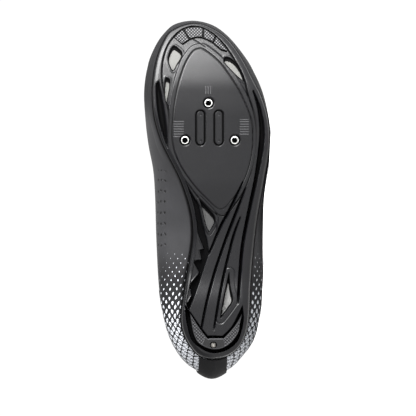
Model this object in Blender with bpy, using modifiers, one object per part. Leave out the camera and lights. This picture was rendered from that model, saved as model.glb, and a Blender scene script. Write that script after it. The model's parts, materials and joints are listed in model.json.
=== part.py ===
"""Road cycling shoe for the left foot, empty, lying on its outer side.

The shoe is worked out as it stands on its sole: x runs from heel to toe, y towards the
outer side and z up, in metres. At the end an empty lays it down on its outer side, where
the edge of the sole and the upper both touch the ground.
"""
import math

import bmesh
import bpy
from mathutils import Matrix, Vector

# Sizes of the whole shoe
LENGTH = 0.290
BALL_WIDTH = 0.102
HEEL_SEAT = 0.021
TOE_SPRING = 0.022
SOLE_THICKNESS = 0.0075

# Heights of the upper above the top of the sole
HEEL_HEIGHT = 0.058
INSTEP_HEIGHT = 0.082
BALL_HEIGHT = 0.056
TOE_HEIGHT = 0.034

# Walls and layers of the soft parts
UPPER_WALL = 0.0022
HEEL_STRIP_WIDTH = 0.021
HEEL_STRIP_THICKNESS = 0.0012
TONGUE_THICKNESS = 0.004
TONGUE_STANDS_OUT = 0.011
TONGUE_TUCKED_IN = 0.010
TONGUE_TOE_TAPER = 0.5
TONGUE_TOE_DROP = 0.003
TONGUE_GAP = 0.0015
INSOLE_THICKNESS = 0.0035
STRAP_THICKNESS = 0.002

# Relief of the underside
FLOOR_DEPTH = 0.0010
HOLLOW_DEPTH = 0.0046
ARCH_DEPTH = 0.0034
GROOVE_DEPTH = 0.0030
SIDE_GROOVE_DEPTH = 0.0042
HEEL_RECESS_DEPTH = 0.0042
TREAD_POCKET_DEPTH = 0.0016
TREAD_STANDS_OUT = 0.0010
TREAD_SPLIT = 0.0009
GROOVE_WIDTH = 0.0030

# Cleat fixing
BOLT_RING_RADIUS = 0.0034
BOLT_HOLE_RADIUS = 0.0021
BOLT_RING_LENGTH = 0.0045
BOLT_RING_SUNK = 0.0005
COUNTERBORE_RADIUS = 0.0041
COUNTERBORE_DEPTH = 0.0012
SLOT_LENGTH = 0.0281
SLOT_WIDTH = 0.0073
SLOT_DEPTH = 0.0020
SLOT_GAP = 0.0005

# Heel pad screw and vent mesh
SCREW_RADIUS = 0.0024
SCREW_SUNK = 0.0016
SCREW_LENGTH = 0.0040
MESH_THICKNESS = 0.0008
MESH_DEPTH = 0.0032

# Clearances
GAP = 0.0003
SOFT_GAP = 0.0005
TONGUE_CROWN = 0.05
STRAP_CROWN = 0.09
STRAP_LEAN = 0.15

# Fineness of the facets
LOOP_STEPS = 64
SIDE_COLUMNS = 25
TOE_COLUMNS = 4
STRAP_STEPS = 6
BRIDGE_STEPS = 4
ROWS = (0.0, 0.35, 0.7, 1.0, 1.5, 2.0, 2.35, 2.7, 3.0)
STATION_STEP = 0.04
TOE_STATION_STEP = 0.02
FLAT_ANGLE = math.radians(0.2)
WELD = 0.00004
OVERCUT = 0.002

# Level stretch of the underside for the cleat, as shares of the length
FLAT_START = 0.56
FLAT_END = 0.72

# Underside and thickness of the sole along the shoe
# columns: share of length from the heel, height of the underside, thickness
SOLE_CURVE = [
    (-0.04, 0.20 * HEEL_SEAT, 0.80 * HEEL_SEAT),
    (0.20, 0.20 * HEEL_SEAT, 0.80 * HEEL_SEAT),
    (0.30, 0.42 * HEEL_SEAT, 0.50 * HEEL_SEAT),
    (0.38, 0.40 * HEEL_SEAT, 0.36 * HEEL_SEAT),
    (0.48, 0.16 * HEEL_SEAT, SOLE_THICKNESS),
    (FLAT_START, 0.0, SOLE_THICKNESS),
    (FLAT_END, 0.0, SOLE_THICKNESS),
    (0.80, 0.08 * TOE_SPRING, SOLE_THICKNESS),
    (0.87, 0.28 * TOE_SPRING, 0.95 * SOLE_THICKNESS),
    (0.94, 0.62 * TOE_SPRING, 0.88 * SOLE_THICKNESS),
    (1.04, 1.25 * TOE_SPRING, 0.80 * SOLE_THICKNESS),
]

# Height of the upper's rim above the sole, before the dip at the ankle
# columns: share of length, height
BODY_HEIGHT = [
    (-0.04, HEEL_HEIGHT),
    (0.10, HEEL_HEIGHT),
    (0.42, INSTEP_HEIGHT),
    (0.72, BALL_HEIGHT),
    (0.93, TOE_HEIGHT),
    (1.04, TOE_HEIGHT),
]

# Edge of the sole, where the upper meets it
# columns: share of length, inner side and outer side as shares of the ball width
SOLE_EDGE = {
    "heel": (0.054, 0.040),
    "toe": (0.992, -0.106),
    "rows": [
        (0.062, -0.070, 0.150),
        (0.085, -0.140, 0.240),
        (0.125, -0.203, 0.300),
        (0.174, -0.224, 0.326),
        (0.250, -0.196, 0.337),
        (0.320, -0.160, 0.350),
        (0.385, -0.131, 0.367),
        (0.438, -0.135, 0.384),
        (0.481, -0.160, 0.402),
        (0.524, -0.200, 0.424),
        (0.566, -0.249, 0.444),
        (0.620, -0.328, 0.472),
        (0.665, -0.388, 0.485),
        (0.726, -0.438, 0.466),
        (0.783, -0.453, 0.417),
        (0.830, -0.447, 0.351),
        (0.887, -0.418, 0.270),
        (0.938, -0.362, 0.173),
        (0.972, -0.285, 0.060),
    ],
}

# Widest line round the upper
# columns: share of length, inner side, outer side, share of the body height
WIDEST = {
    "heel": (0.0, 0.040, 0.34),
    "toe": (1.0, -0.113, 0.36),
    "rows": [
        (0.022, -0.099, 0.179, 0.34),
        (0.059, -0.209, 0.282, 0.32),
        (0.103, -0.286, 0.369, 0.28),
        (0.159, -0.338, 0.412, 0.24),
        (0.250, -0.383, 0.446, 0.23),
        (0.386, -0.403, 0.449, 0.30),
        (0.500, -0.412, 0.457, 0.40),
        (0.580, -0.428, 0.487, 0.46),
        (0.652, -0.467, 0.503, 0.50),
        (0.720, -0.492, 0.493, 0.48),
        (0.800, -0.505, 0.438, 0.44),
        (0.870, -0.477, 0.345, 0.40),
        (0.930, -0.408, 0.228, 0.38),
        (0.969, -0.328, 0.123, 0.36),
        (0.991, -0.247, 0.020, 0.36),
    ],
}

# Shoulder, where the side turns over onto the foot
SHOULDER = {
    "heel": (0.012, 0.040, 0.74),
    "toe": (0.957, -0.120, 0.88),
    "rows": [
        (0.030, -0.120, 0.200, 0.73),
        (0.080, -0.235, 0.312, 0.68),
        (0.180, -0.318, 0.385, 0.58),
        (0.280, -0.345, 0.395, 0.58),
        (0.380, -0.352, 0.382, 0.71),
        (0.480, -0.356, 0.360, 0.79),
        (0.580, -0.358, 0.360, 0.82),
        (0.680, -0.366, 0.345, 0.82),
        (0.760, -0.378, 0.308, 0.84),
        (0.840, -0.360, 0.220, 0.86),
        (0.900, -0.310, 0.125, 0.88),
        (0.940, -0.235, 0.030, 0.88),
    ],
}

# Rim of the collar and, in front of the instep, of the throat
RIM = {
    "heel": (0.030, 0.035, 1.0),
    "toe": (0.715, -0.030, 1.0),
    "rows": [
        (0.050, -0.090, 0.160, 0.99),
        (0.100, -0.180, 0.250, 0.92),
        (0.180, -0.245, 0.310, 0.82),
        (0.260, -0.265, 0.310, 0.80),
        (0.340, -0.245, 0.265, 0.89),
        (0.410, -0.215, 0.200, 1.0),
        (0.500, -0.190, 0.155, 1.0),
        (0.600, -0.155, 0.105, 1.0),
        (0.680, -0.110, 0.050, 1.0),
    ],
}

# Side of the sole from its edge down to the underside
# columns: share of the thickness above the underside, share of the inset
SOLE_SIDE = [
    (0.00, 1.00),
    (0.12, 0.55),
    (0.36, 0.20),
    (0.66, 0.00),
    (1.00, 0.03),
]
# How far the underside lies inside the edge
# columns: share of length, inset on the inner and on the outer side
SIDE_INSET = [
    (-0.04, 0.0050, 0.0050),
    (0.20, 0.0040, 0.0070),
    (0.45, 0.0035, 0.0090),
    (0.62, 0.0035, 0.0085),
    (0.75, 0.0040, 0.0060),
    (0.85, 0.0040, 0.0045),
    (1.04, 0.0035, 0.0035),
]

# Outlines on the underside: share of length and share of the ball width,
# each a list of smooth runs with a corner where two runs meet
CLEAT_LAND = [
    [(0.473, 0.085), (0.500, 0.180), (0.545, 0.262), (0.600, 0.318), (0.660, 0.340), (0.720, 0.327),
     (0.780, 0.262), (0.832, 0.181), (0.880, 0.085), (0.912, -0.020), (0.918, -0.072), (0.908, -0.130),
     (0.870, -0.196), (0.810, -0.250), (0.740, -0.284), (0.660, -0.294), (0.601, -0.241),
     (0.548, -0.145), (0.505, -0.035)],
]
FOREFOOT_FLOOR = [
    [(0.452, 0.100), (0.490, 0.215), (0.545, 0.300), (0.610, 0.350), (0.680, 0.368), (0.735, 0.352),
     (0.790, 0.305), (0.835, 0.275), (0.880, 0.215), (0.925, 0.135), (0.962, 0.035), (0.978, -0.060),
     (0.982, -0.130), (0.972, -0.210), (0.950, -0.280), (0.920, -0.335), (0.880, -0.368),
     (0.830, -0.374), (0.785, -0.352), (0.735, -0.322), (0.665, -0.318), (0.601, -0.268),
     (0.540, -0.165), (0.490, -0.050)],
]
MEDIAL_HOLLOW = [
    [(0.828, -0.394), (0.815, -0.424), (0.764, -0.420), (0.716, -0.400), (0.671, -0.366), (0.632, -0.326)],
    [(0.632, -0.326), (0.680, -0.330), (0.727, -0.345), (0.778, -0.368), (0.828, -0.394)],
]
ARCH_RECESS = [
    [(0.555, -0.196), (0.512, -0.132), (0.475, -0.055), (0.440, 0.052), (0.405, 0.068)],
    [(0.405, 0.068), (0.338, -0.010), (0.283, -0.062), (0.229, -0.118), (0.192, -0.158)],
    [(0.192, -0.158), (0.215, -0.182), (0.260, -0.156), (0.320, -0.122), (0.385, -0.094),
     (0.430, -0.098), (0.480, -0.124), (0.520, -0.160), (0.555, -0.196)],
]
TREAD = [
    [(0.952, -0.272), (0.973, -0.207), (0.981, -0.113), (0.976, -0.037), (0.956, 0.052),
     (0.934, 0.110), (0.919, 0.146)],
    [(0.919, 0.146), (0.910, 0.140)],
    [(0.910, 0.140), (0.914, 0.100), (0.922, 0.072), (0.937, 0.020), (0.949, -0.064),
     (0.945, -0.134), (0.930, -0.203)],
    [(0.930, -0.203), (0.952, -0.272)],
]
# Splits of the tread: outer and inner end of each
TREAD_SPLITS = [
    ((0.979, -0.214), (0.940, -0.141)),
    ((0.986, -0.037), (0.940, -0.047)),
    ((0.960, 0.064), (0.932, 0.033)),
]
WINDOWS = {
    "vent_mesh_inner_front": [
        [(0.925, -0.276), (0.918, -0.240), (0.908, -0.213), (0.895, -0.216), (0.874, -0.252), (0.855, -0.284),
         (0.872, -0.312), (0.890, -0.322), (0.912, -0.305)],
    ],
    "vent_mesh_inner_rear": [
        [(0.836, -0.344), (0.832, -0.316), (0.820, -0.308), (0.790, -0.322), (0.764, -0.340)],
        [(0.764, -0.340), (0.790, -0.353), (0.815, -0.352), (0.836, -0.344)],
    ],
    "vent_mesh_outer_front": [
        [(0.880, 0.118), (0.893, 0.125), (0.891, 0.169), (0.876, 0.218), (0.852, 0.256), (0.823, 0.283)],
        [(0.823, 0.283), (0.844, 0.212), (0.880, 0.118)],
    ],
    "vent_mesh_arch": [
        [(0.499, -0.079), (0.474, -0.010), (0.455, 0.036), (0.440, 0.046), (0.425, 0.030), (0.408, 0.002)],
        [(0.408, 0.002), (0.431, -0.028), (0.481, -0.062), (0.499, -0.079)],
    ],
    "vent_mesh_heel": [
        [(0.295, 0.158), (0.255, 0.168), (0.226, 0.184), (0.210, 0.174), (0.170, 0.088)],
        [(0.170, 0.088), (0.213, 0.107), (0.267, 0.141), (0.295, 0.158)],
    ],
}
HEEL_RECESS = [
    [(0.205, -0.188), (0.174, -0.186), (0.113, -0.143), (0.089, -0.070), (0.077, -0.006),
     (0.074, 0.059), (0.083, 0.145), (0.104, 0.219), (0.135, 0.255), (0.170, 0.272), (0.205, 0.262)],
    [(0.205, 0.262), (0.150, 0.186), (0.121, 0.110)],
    [(0.121, 0.110), (0.120, -0.014)],
    [(0.120, -0.014), (0.150, -0.080), (0.205, -0.188)],
]
HEEL_PAD = [
    [(0.185, -0.154), (0.150, -0.138), (0.125, -0.122), (0.103, -0.090), (0.089, -0.026), (0.084, 0.040),
     (0.088, 0.105), (0.103, 0.170), (0.130, 0.226), (0.153, 0.238), (0.180, 0.256)],
    [(0.180, 0.256), (0.150, 0.204), (0.117, 0.120)],
    [(0.117, 0.120), (0.115, 0.098), (0.115, 0.010), (0.116, -0.018)],
    [(0.116, -0.018), (0.148, -0.088), (0.185, -0.154)],
]
# Long grooves: share of length, share of the ball width, share of the groove width
GROOVES = {
    "side": (SIDE_GROOVE_DEPTH, [
        (0.800, 0.345, 0.10), (0.750, 0.392, 0.80), (0.690, 0.414, 1.20), (0.636, 0.404, 1.20),
        (0.560, 0.368, 1.00), (0.478, 0.320, 0.95), (0.374, 0.266, 0.90), (0.290, 0.244, 0.80),
        (0.205, 0.226, 0.50)]),
    "first": (GROOVE_DEPTH, [
        (0.545, 0.262, 0.10), (0.500, 0.208, 0.70), (0.439, 0.128, 0.80), (0.400, 0.082, 0.60)]),
    "second": (GROOVE_DEPTH, [
        (0.531, 0.284, 0.10), (0.490, 0.240, 0.50), (0.445, 0.192, 0.60), (0.394, 0.138, 0.60),
        (0.305, 0.052, 0.60), (0.218, -0.018, 0.60), (0.150, -0.058, 0.30)]),
    "third": (GROOVE_DEPTH, [
        (0.450, 0.245, 0.10), (0.404, 0.198, 0.40), (0.344, 0.154, 0.45), (0.291, 0.118, 0.45),
        (0.229, 0.082, 0.45), (0.150, 0.042, 0.25)]),
}

# Centres of the three cleat bolts and of the two slots
BOLTS = {"front": (0.766, -0.008), "inner": (0.663, -0.193), "outer": (0.663, 0.199)}
SLOTS = {"inner": (0.697, -0.072), "outer": (0.697, 0.072)}
# Centre of the screw in the heel pad
SCREW_PLACE = (0.096, 0.031)

# Straps over the instep
# columns: name, start and end column of the upper, end row on the outer and on the inner side
STRAPS = [
    ("strap_toe", 20, 22, 1.9, 2.1),
    ("strap_middle", 17, 19, 1.8, 2.0),
    ("strap_instep", 14, 16, 1.7, 1.9),
]
THROAT_TOP_COLUMN = 13

# Materials: colour, roughness, metallic, density in kilograms per cubic metre
MATERIALS = {
    "sole_nylon": ((0.105, 0.105, 0.110), 0.42, 0.0, 1150.0),
    "tread_rubber": ((0.030, 0.030, 0.032), 0.75, 0.0, 1200.0),
    "pad_rubber": ((0.045, 0.045, 0.048), 0.70, 0.0, 1200.0),
    "ring_steel": ((0.72, 0.72, 0.70), 0.28, 1.0, 7800.0),
    "vent_mesh": ((0.62, 0.62, 0.60), 0.80, 0.0, 400.0),
    "upper_fabric": ((0.070, 0.070, 0.074), 0.62, 0.0, 700.0),
    "heel_strip": ((0.016, 0.016, 0.017), 0.70, 0.0, 1000.0),
    "tongue_fabric": ((0.040, 0.040, 0.043), 0.80, 0.0, 300.0),
    "insole_foam": ((0.045, 0.045, 0.050), 0.90, 0.0, 200.0),
    "strap_webbing": ((0.028, 0.028, 0.030), 0.65, 0.0, 700.0),
}


def clear_scene():
    """Remove what the scene holds."""
    for obj in list(bpy.data.objects):
        bpy.data.objects.remove(obj, do_unlink=True)


def new_collection(name):
    """Make a collection in the scene."""
    collection = bpy.data.collections.new(name)
    bpy.context.scene.collection.children.link(collection)
    return collection


def new_material(name):
    """Make the Principled material of one kind of piece."""
    colour, roughness, metallic, _density = MATERIALS[name]
    material = bpy.data.materials.new(name)
    material.use_nodes = True
    shader = material.node_tree.nodes["Principled BSDF"]
    shader.inputs["Base Color"].default_value = (*colour, 1.0)
    shader.inputs["Roughness"].default_value = roughness
    shader.inputs["Metallic"].default_value = metallic
    material.diffuse_color = (*colour, 1.0)
    return material


def add_mesh_object(name, mesh, collection):
    """Add an object that shows the mesh."""
    obj = bpy.data.objects.new(name, mesh)
    collection.objects.link(obj)
    return obj


def add_piece(name, mesh, material_name, smooth_angle=35.0):
    """Add one finished sub-part with its material."""
    obj = add_mesh_object(name, mesh, PIECES)
    mesh.materials.clear()
    mesh.materials.append(SLOTS_OF_MATERIAL[material_name])
    mesh.shade_smooth()
    mesh.set_sharp_from_angle(angle=math.radians(smooth_angle))
    obj["density"] = MATERIALS[material_name][3]
    return obj


def evaluated_mesh(obj):
    """Return a mesh of the object with its modifiers applied."""
    graph = bpy.context.evaluated_depsgraph_get()
    return bpy.data.meshes.new_from_object(obj.evaluated_get(graph), depsgraph=graph)


# Curves through tables


def monotone(rows, x, column):
    """Smooth value of one column at x that never swings past its rows."""
    last = len(rows) - 1
    x = min(max(x, rows[0][0]), rows[last][0])
    i = max(k for k in range(last) if rows[k][0] <= x)
    slopes = [(rows[k + 1][column] - rows[k][column]) / (rows[k + 1][0] - rows[k][0]) for k in range(last)]

    def tangent(k):
        if k in (0, last):
            return slopes[min(k, last - 1)]
        before, after = slopes[k - 1], slopes[k]
        return 0.0 if before * after <= 0 else 2 * before * after / (before + after)

    span = rows[i + 1][0] - rows[i][0]
    t = (x - rows[i][0]) / span
    start = (1 + 2 * t) * (1 - t) ** 2 * rows[i][column] + t * (1 - t) ** 2 * span * tangent(i)
    end = t * t * (3 - 2 * t) * rows[i + 1][column] + t * t * (t - 1) * span * tangent(i + 1)
    return start + end


def catmull(p0, p1, p2, p3, t):
    """Point between p1 and p2 on a smooth curve through four points."""
    return 0.5 * (2 * p1 + (p2 - p0) * t + (2 * p0 - 5 * p1 + 4 * p2 - p3) * t * t
                  + (3 * p1 - p0 - 3 * p2 + p3) * t ** 3)


def hermite(start, leave, end, arrive, t):
    """Point on a curve between two ends that leaves and arrives in given directions."""
    return ((1 + 2 * t) * (1 - t) ** 2 * start + t * (1 - t) ** 2 * leave
            + t * t * (3 - 2 * t) * end + t * t * (t - 1) * arrive)


def smooth_run(points, steps, closed=False):
    """Smooth curve through points, with a number of steps between neighbours."""
    count = len(points)
    run = []
    for i in range(count if closed else count - 1):
        if closed:
            near = [points[(i + k) % count] for k in (-1, 0, 1, 2)]
        else:
            near = [points[min(max(i + k, 0), count - 1)] for k in (-1, 0, 1, 2)]
        run += [catmull(*near, k / steps) for k in range(steps)]
    if not closed:
        run.append(points[-1])
    return run


def at_share(line, share):
    """Point of a polyline at a share of its length."""
    lengths = [0.0]
    for a, b in zip(line, line[1:]):
        lengths.append(lengths[-1] + (b - a).length)
    target = share * lengths[-1]
    for i in range(len(line) - 1):
        if lengths[i + 1] >= target:
            span = lengths[i + 1] - lengths[i]
            return line[i].lerp(line[i + 1], (target - lengths[i]) / span if span else 0.0)
    return line[-1].copy()


# The sole's own frame and the bend that gives it arch, toe spring and heel seat


def sole_station(i):
    """Share of length of one of the stations where the sole bends."""
    flat_count = round(FLAT_END / STATION_STEP)
    if i <= flat_count:
        return i * STATION_STEP
    return FLAT_END + (i - flat_count) * TOE_STATION_STEP


STATIONS = [sole_station(i) for i in range(-1, round(FLAT_END / STATION_STEP) + 16)]


def between_stations(share, column):
    """Value of a column of the sole curve, straight between two stations."""
    upper = next((i for i, s in enumerate(STATIONS) if s > share), len(STATIONS) - 1)
    low, high = STATIONS[upper - 1], STATIONS[upper]
    t = (share - low) / (high - low)
    return (1 - t) * monotone(SOLE_CURVE, low, column) + t * monotone(SOLE_CURVE, high, column)


def underside(x):
    """Height of the sole's underside at a length along the shoe."""
    return between_stations(x / LENGTH, 1)


def thickness(x):
    """Thickness of the sole at a length along the shoe."""
    return between_stations(x / LENGTH, 2)


def sole_top(x):
    """Height of the top of the sole at a length along the shoe."""
    return underside(x) + thickness(x)


def bent_height(x, z):
    """Height in the shoe of a point that is z above the flat underside."""
    if z < 0:
        return underside(x) + z
    if z > SOLE_THICKNESS:
        return sole_top(x) + z - SOLE_THICKNESS
    return underside(x) + z / SOLE_THICKNESS * thickness(x)


def flat_height(x, depth):
    """Height in the flat sole that lies a true depth inside the underside."""
    return depth * SOLE_THICKNESS / thickness(x)


def dissolve_flat(bm):
    """Join the faces of a mesh that lie in one plane."""
    bmesh.ops.dissolve_limit(bm, angle_limit=FLAT_ANGLE, verts=bm.verts[:], edges=bm.edges[:])


def bend(mesh):
    """Cut a flat piece of the sole at the stations and give it the sole's curve."""
    bm = bmesh.new()
    bm.from_mesh(mesh)
    dissolve_flat(bm)
    for share in STATIONS:
        place = Vector((share * LENGTH, 0, 0))
        geometry = bm.verts[:] + bm.edges[:] + bm.faces[:]
        bmesh.ops.bisect_plane(bm, geom=geometry, dist=1e-7, plane_co=place, plane_no=(1, 0, 0))
    bmesh.ops.remove_doubles(bm, verts=bm.verts[:], dist=WELD)
    for vert in bm.verts:
        vert.co.z = bent_height(vert.co.x, vert.co.z)
    bmesh.ops.triangulate(bm, faces=bm.faces[:])
    bm.to_mesh(mesh)
    bm.free()
    return mesh


# Outlines and prisms of the underside


def plan(point):
    """Place of a table point in the plan of the sole."""
    return Vector((point[0] * LENGTH, point[1] * BALL_WIDTH))


def outline(runs, steps=3):
    """Closed outline from smooth runs in the plan of the sole."""
    if len(runs) == 1:
        return smooth_run([plan(p) for p in runs[0]], steps, closed=True)
    line = []
    for run in runs:
        line += smooth_run([plan(p) for p in run], steps if len(run) > 2 else 1)[:-1]
    return line


def signed_area(line):
    """Area inside a closed outline, positive when it runs anticlockwise."""
    return sum(a.x * b.y - b.x * a.y for a, b in zip(line, line[1:] + line[:1])) / 2


def inset(line, distance):
    """Outline moved inwards by a distance."""
    turn = 1 if signed_area(line) > 0 else -1
    moved = []
    for i, point in enumerate(line):
        before = (point - line[i - 1]).normalized()
        after = (line[(i + 1) % len(line)] - point).normalized()
        normal_before = Vector((-before.y, before.x)) * turn
        normal_after = Vector((-after.y, after.x)) * turn
        middle = (normal_before + normal_after).normalized()
        moved.append(point + middle * distance / max(middle.dot(normal_after), 0.5))
    return moved


def circle(centre, radius, steps=20):
    """Round outline."""
    turns = [2 * math.pi * i / steps for i in range(steps)]
    return [centre + radius * Vector((math.cos(a), math.sin(a))) for a in turns]


def stadium(centre, length, width, steps=8):
    """Outline of a slot with round ends that runs along the shoe."""
    reach = (length - width) / 2
    line = []
    for end in (1, -1):
        for i in range(steps + 1):
            angle = math.pi * (i / steps - end / 2)
            away = Vector((math.cos(angle), math.sin(angle))) * width / 2
            line.append(centre + Vector((reach * end, 0)) + away)
    return line


def prism(name, outlines, low, high):
    """Mesh of a flat 2D curve with holes, extruded between two heights."""
    curve = bpy.data.curves.new(name, "CURVE")
    curve.dimensions = "2D"
    curve.fill_mode = "BOTH"
    curve.extrude = (high - low) / 2
    for line in outlines:
        spline = curve.splines.new("POLY")
        spline.points.add(len(line) - 1)
        spline.use_cyclic_u = True
        for point, place in zip(spline.points, line):
            point.co = (place.x, place.y, 0, 1)
    obj = add_mesh_object(name, curve, CUTTERS)
    mesh = evaluated_mesh(obj)
    bpy.data.objects.remove(obj)
    bm = bmesh.new()
    bm.from_mesh(mesh)
    bmesh.ops.remove_doubles(bm, verts=bm.verts[:], dist=1e-6)
    dissolve_flat(bm)
    bmesh.ops.translate(bm, verts=bm.verts[:], vec=(0, 0, (low + high) / 2))
    bmesh.ops.recalc_face_normals(bm, faces=bm.faces[:])
    bm.to_mesh(mesh)
    bm.free()
    return mesh


def cut(body, name, outlines, low, high):
    """Cut a prism out of a body with a Boolean modifier."""
    cutter = add_mesh_object(name, prism(name, outlines, low, high), CUTTERS)
    cutter.display_type = "WIRE"
    cutter.hide_render = True
    modifier = body.modifiers.new(name, "BOOLEAN")
    modifier.operation = "DIFFERENCE"
    modifier.solver = "MANIFOLD"
    modifier.object = cutter


def finish_flat(body, name, material_name):
    """Apply a flat body's cuts, bend it and add it to the shoe."""
    mesh = evaluated_mesh(body)
    bpy.data.objects.remove(body)
    mesh.name = name
    return add_piece(name, bend(mesh), material_name)


def band(rows):
    """Outline of a groove whose width changes along its middle line."""
    middle = smooth_run([Vector((r[0] * LENGTH, r[1] * BALL_WIDTH, r[2] * GROOVE_WIDTH)) for r in rows], 3)
    sides = [[], []]
    for i, point in enumerate(middle):
        along = middle[min(i + 1, len(middle) - 1)] - middle[max(i - 1, 0)]
        across = Vector((-along.y, along.x)).normalized() * point.z / 2
        sides[0].append(point.xy + across)
        sides[1].append(point.xy - across)
    return sides[0] + sides[1][::-1]


# Loops round the shoe, from the heel along each side to the toe


def body_height(x):
    """Height of the upper above the sole, before the ankle's dip."""
    return monotone(BODY_HEIGHT, x / LENGTH, 1)


def loop_sides(loop, lift):
    """The two side lines of a loop, inner then outer, each from heel to toe."""
    def place(share, across, height):
        x = share * LENGTH
        return Vector((x, across * BALL_WIDTH, sole_top(x) + lift + height * body_height(x)))

    def height_of(row, column):
        return row[column] if len(row) > column else 0.0

    heel = place(*loop["heel"][:2], height_of(loop["heel"], 2))
    toe = place(*loop["toe"][:2], height_of(loop["toe"], 2))
    inner = [place(r[0], r[1], height_of(r, 3)) for r in loop["rows"]]
    outer = [place(r[0], r[2], height_of(r, 3)) for r in loop["rows"]]
    steps = 6
    ring = smooth_run([heel] + outer + [toe] + inner[::-1], steps, closed=True)
    toe_place = (len(outer) + 1) * steps
    outer_line = ring[:toe_place + 1]
    inner_line = [ring[0]] + ring[:toe_place - 1:-1]
    return inner_line, outer_line


def sole_loop(share_up, share_in):
    """Closed loop of the flat sole at a share of its thickness."""
    def inset_at(share, column):
        return share_in * monotone(SIDE_INSET, share, column) / BALL_WIDTH

    heel_in = inset_at(SOLE_EDGE["heel"][0], 1) * BALL_WIDTH / LENGTH
    toe_in = inset_at(SOLE_EDGE["toe"][0], 1) * BALL_WIDTH / LENGTH
    heel_share, heel_across = SOLE_EDGE["heel"]
    toe_share, toe_across = SOLE_EDGE["toe"]
    middle = (heel_share + toe_share) / 2
    squeeze = 1 - (heel_in + toe_in) / (toe_share - heel_share)
    shift = (heel_in - toe_in) / 2

    def along(share):
        return middle + (share - middle) * squeeze + shift

    points = [plan((along(heel_share), heel_across))]
    points += [plan((along(s), outer - inset_at(s, 2))) for s, _inner, outer in SOLE_EDGE["rows"]]
    points.append(plan((along(toe_share), toe_across)))
    points += [plan((along(s), inner + inset_at(s, 1))) for s, inner, _outer in reversed(SOLE_EDGE["rows"])]
    line = smooth_run(points, 4, closed=True)
    line.append(line[0])
    ring = [at_share(line, i / LOOP_STEPS) for i in range(LOOP_STEPS)]
    return [Vector((p.x, p.y, share_up * SOLE_THICKNESS)) for p in ring]


class UpperSurface:
    """The outside of the upper as a function of a place round it and a row up it."""

    def __init__(self):
        loops = [(SOLE_EDGE, SOFT_GAP), (WIDEST, 0.0), (SHOULDER, 0.0), (RIM, 0.0)]
        self.lines = [loop_sides(loop, lift) for loop, lift in loops]

    def point(self, turn, row):
        """Point at turn -1 to 1 (toe, inner side, heel, outer side, toe) and row 0 to 3."""
        side = 1 if turn > 0 else 0
        edge, widest, shoulder, rim = (at_share(line[side], min(abs(turn), 1.0)) for line in self.lines)
        upright = Vector((0, 0, 1))
        over = (rim - widest).normalized()
        low, middle, high = (widest - edge), (shoulder - widest), (rim - shoulder)
        if row < 1:
            arrive = upright * low.length
            return hermite(edge, low * 1.5 - arrive / 2, widest, arrive, row)
        if row < 2:
            return hermite(widest, upright * middle.length, shoulder, over * middle.length, row - 1)
        leave = over * high.length
        return hermite(shoulder, leave, rim, high * 1.5 - leave / 2, row - 2)

    def normal(self, turn, row):
        """Direction out of the upper."""
        step_turn, step_row = 0.004, 0.03
        turn_low, turn_high = max(turn - step_turn, -1.0), min(turn + step_turn, 1.0)
        row_low, row_high = max(row - step_row, 0.0), min(row + step_row, 3.0)
        along = self.point(turn_high, row) - self.point(turn_low, row)
        upward = self.point(turn, row_high) - self.point(turn, row_low)
        if abs(turn) > 1.0 - step_turn:
            along = Vector((0, -1, 0))
        return upward.cross(along).normalized()

    def off(self, turn, row, distance):
        """Point at a distance outside the upper, or inside when negative."""
        return self.point(turn, row) + self.normal(turn, row) * distance


def upper_columns():
    """Places round one side of the upper, from the heel to the toe."""
    half_strip = HEEL_STRIP_WIDTH / 2 / LENGTH
    first = [0.0, half_strip / 2, half_strip]
    rest = SIDE_COLUMNS - 2
    return first + [half_strip + (1 - half_strip) * i / rest for i in range(1, rest + 1)]


def round_toe(columns):
    """Places round one side of the upper with more of them at the toe."""
    finer = columns[:-TOE_COLUMNS]
    for before, place in zip(columns[-TOE_COLUMNS - 1:], columns[-TOE_COLUMNS:]):
        finer += [(before + place) / 2, place]
    return finer


def sheet(name, points):
    """Open surface through rows of points."""
    bm = bmesh.new()
    grid = [[bm.verts.new(p) for p in row] for row in points]
    for near, far in zip(grid, grid[1:]):
        for i in range(len(near) - 1):
            bm.faces.new((near[i], far[i], far[i + 1], near[i + 1]))
    bmesh.ops.remove_doubles(bm, verts=bm.verts[:], dist=1e-6)
    mesh = bpy.data.meshes.new(name)
    bm.to_mesh(mesh)
    bm.free()
    return mesh


def shell(name, points, wall, side, material_name):
    """Surface through rows of points with a wall on one side of it."""
    obj = add_mesh_object(name, sheet(name, points), CUTTERS)
    modifier = obj.modifiers.new("wall", "SOLIDIFY")
    modifier.thickness = wall
    modifier.offset = side
    modifier.use_even_offset = True
    mesh = evaluated_mesh(obj)
    bpy.data.objects.remove(obj)
    return add_piece(name, mesh, material_name, 50.0)


# Sub-parts


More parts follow.
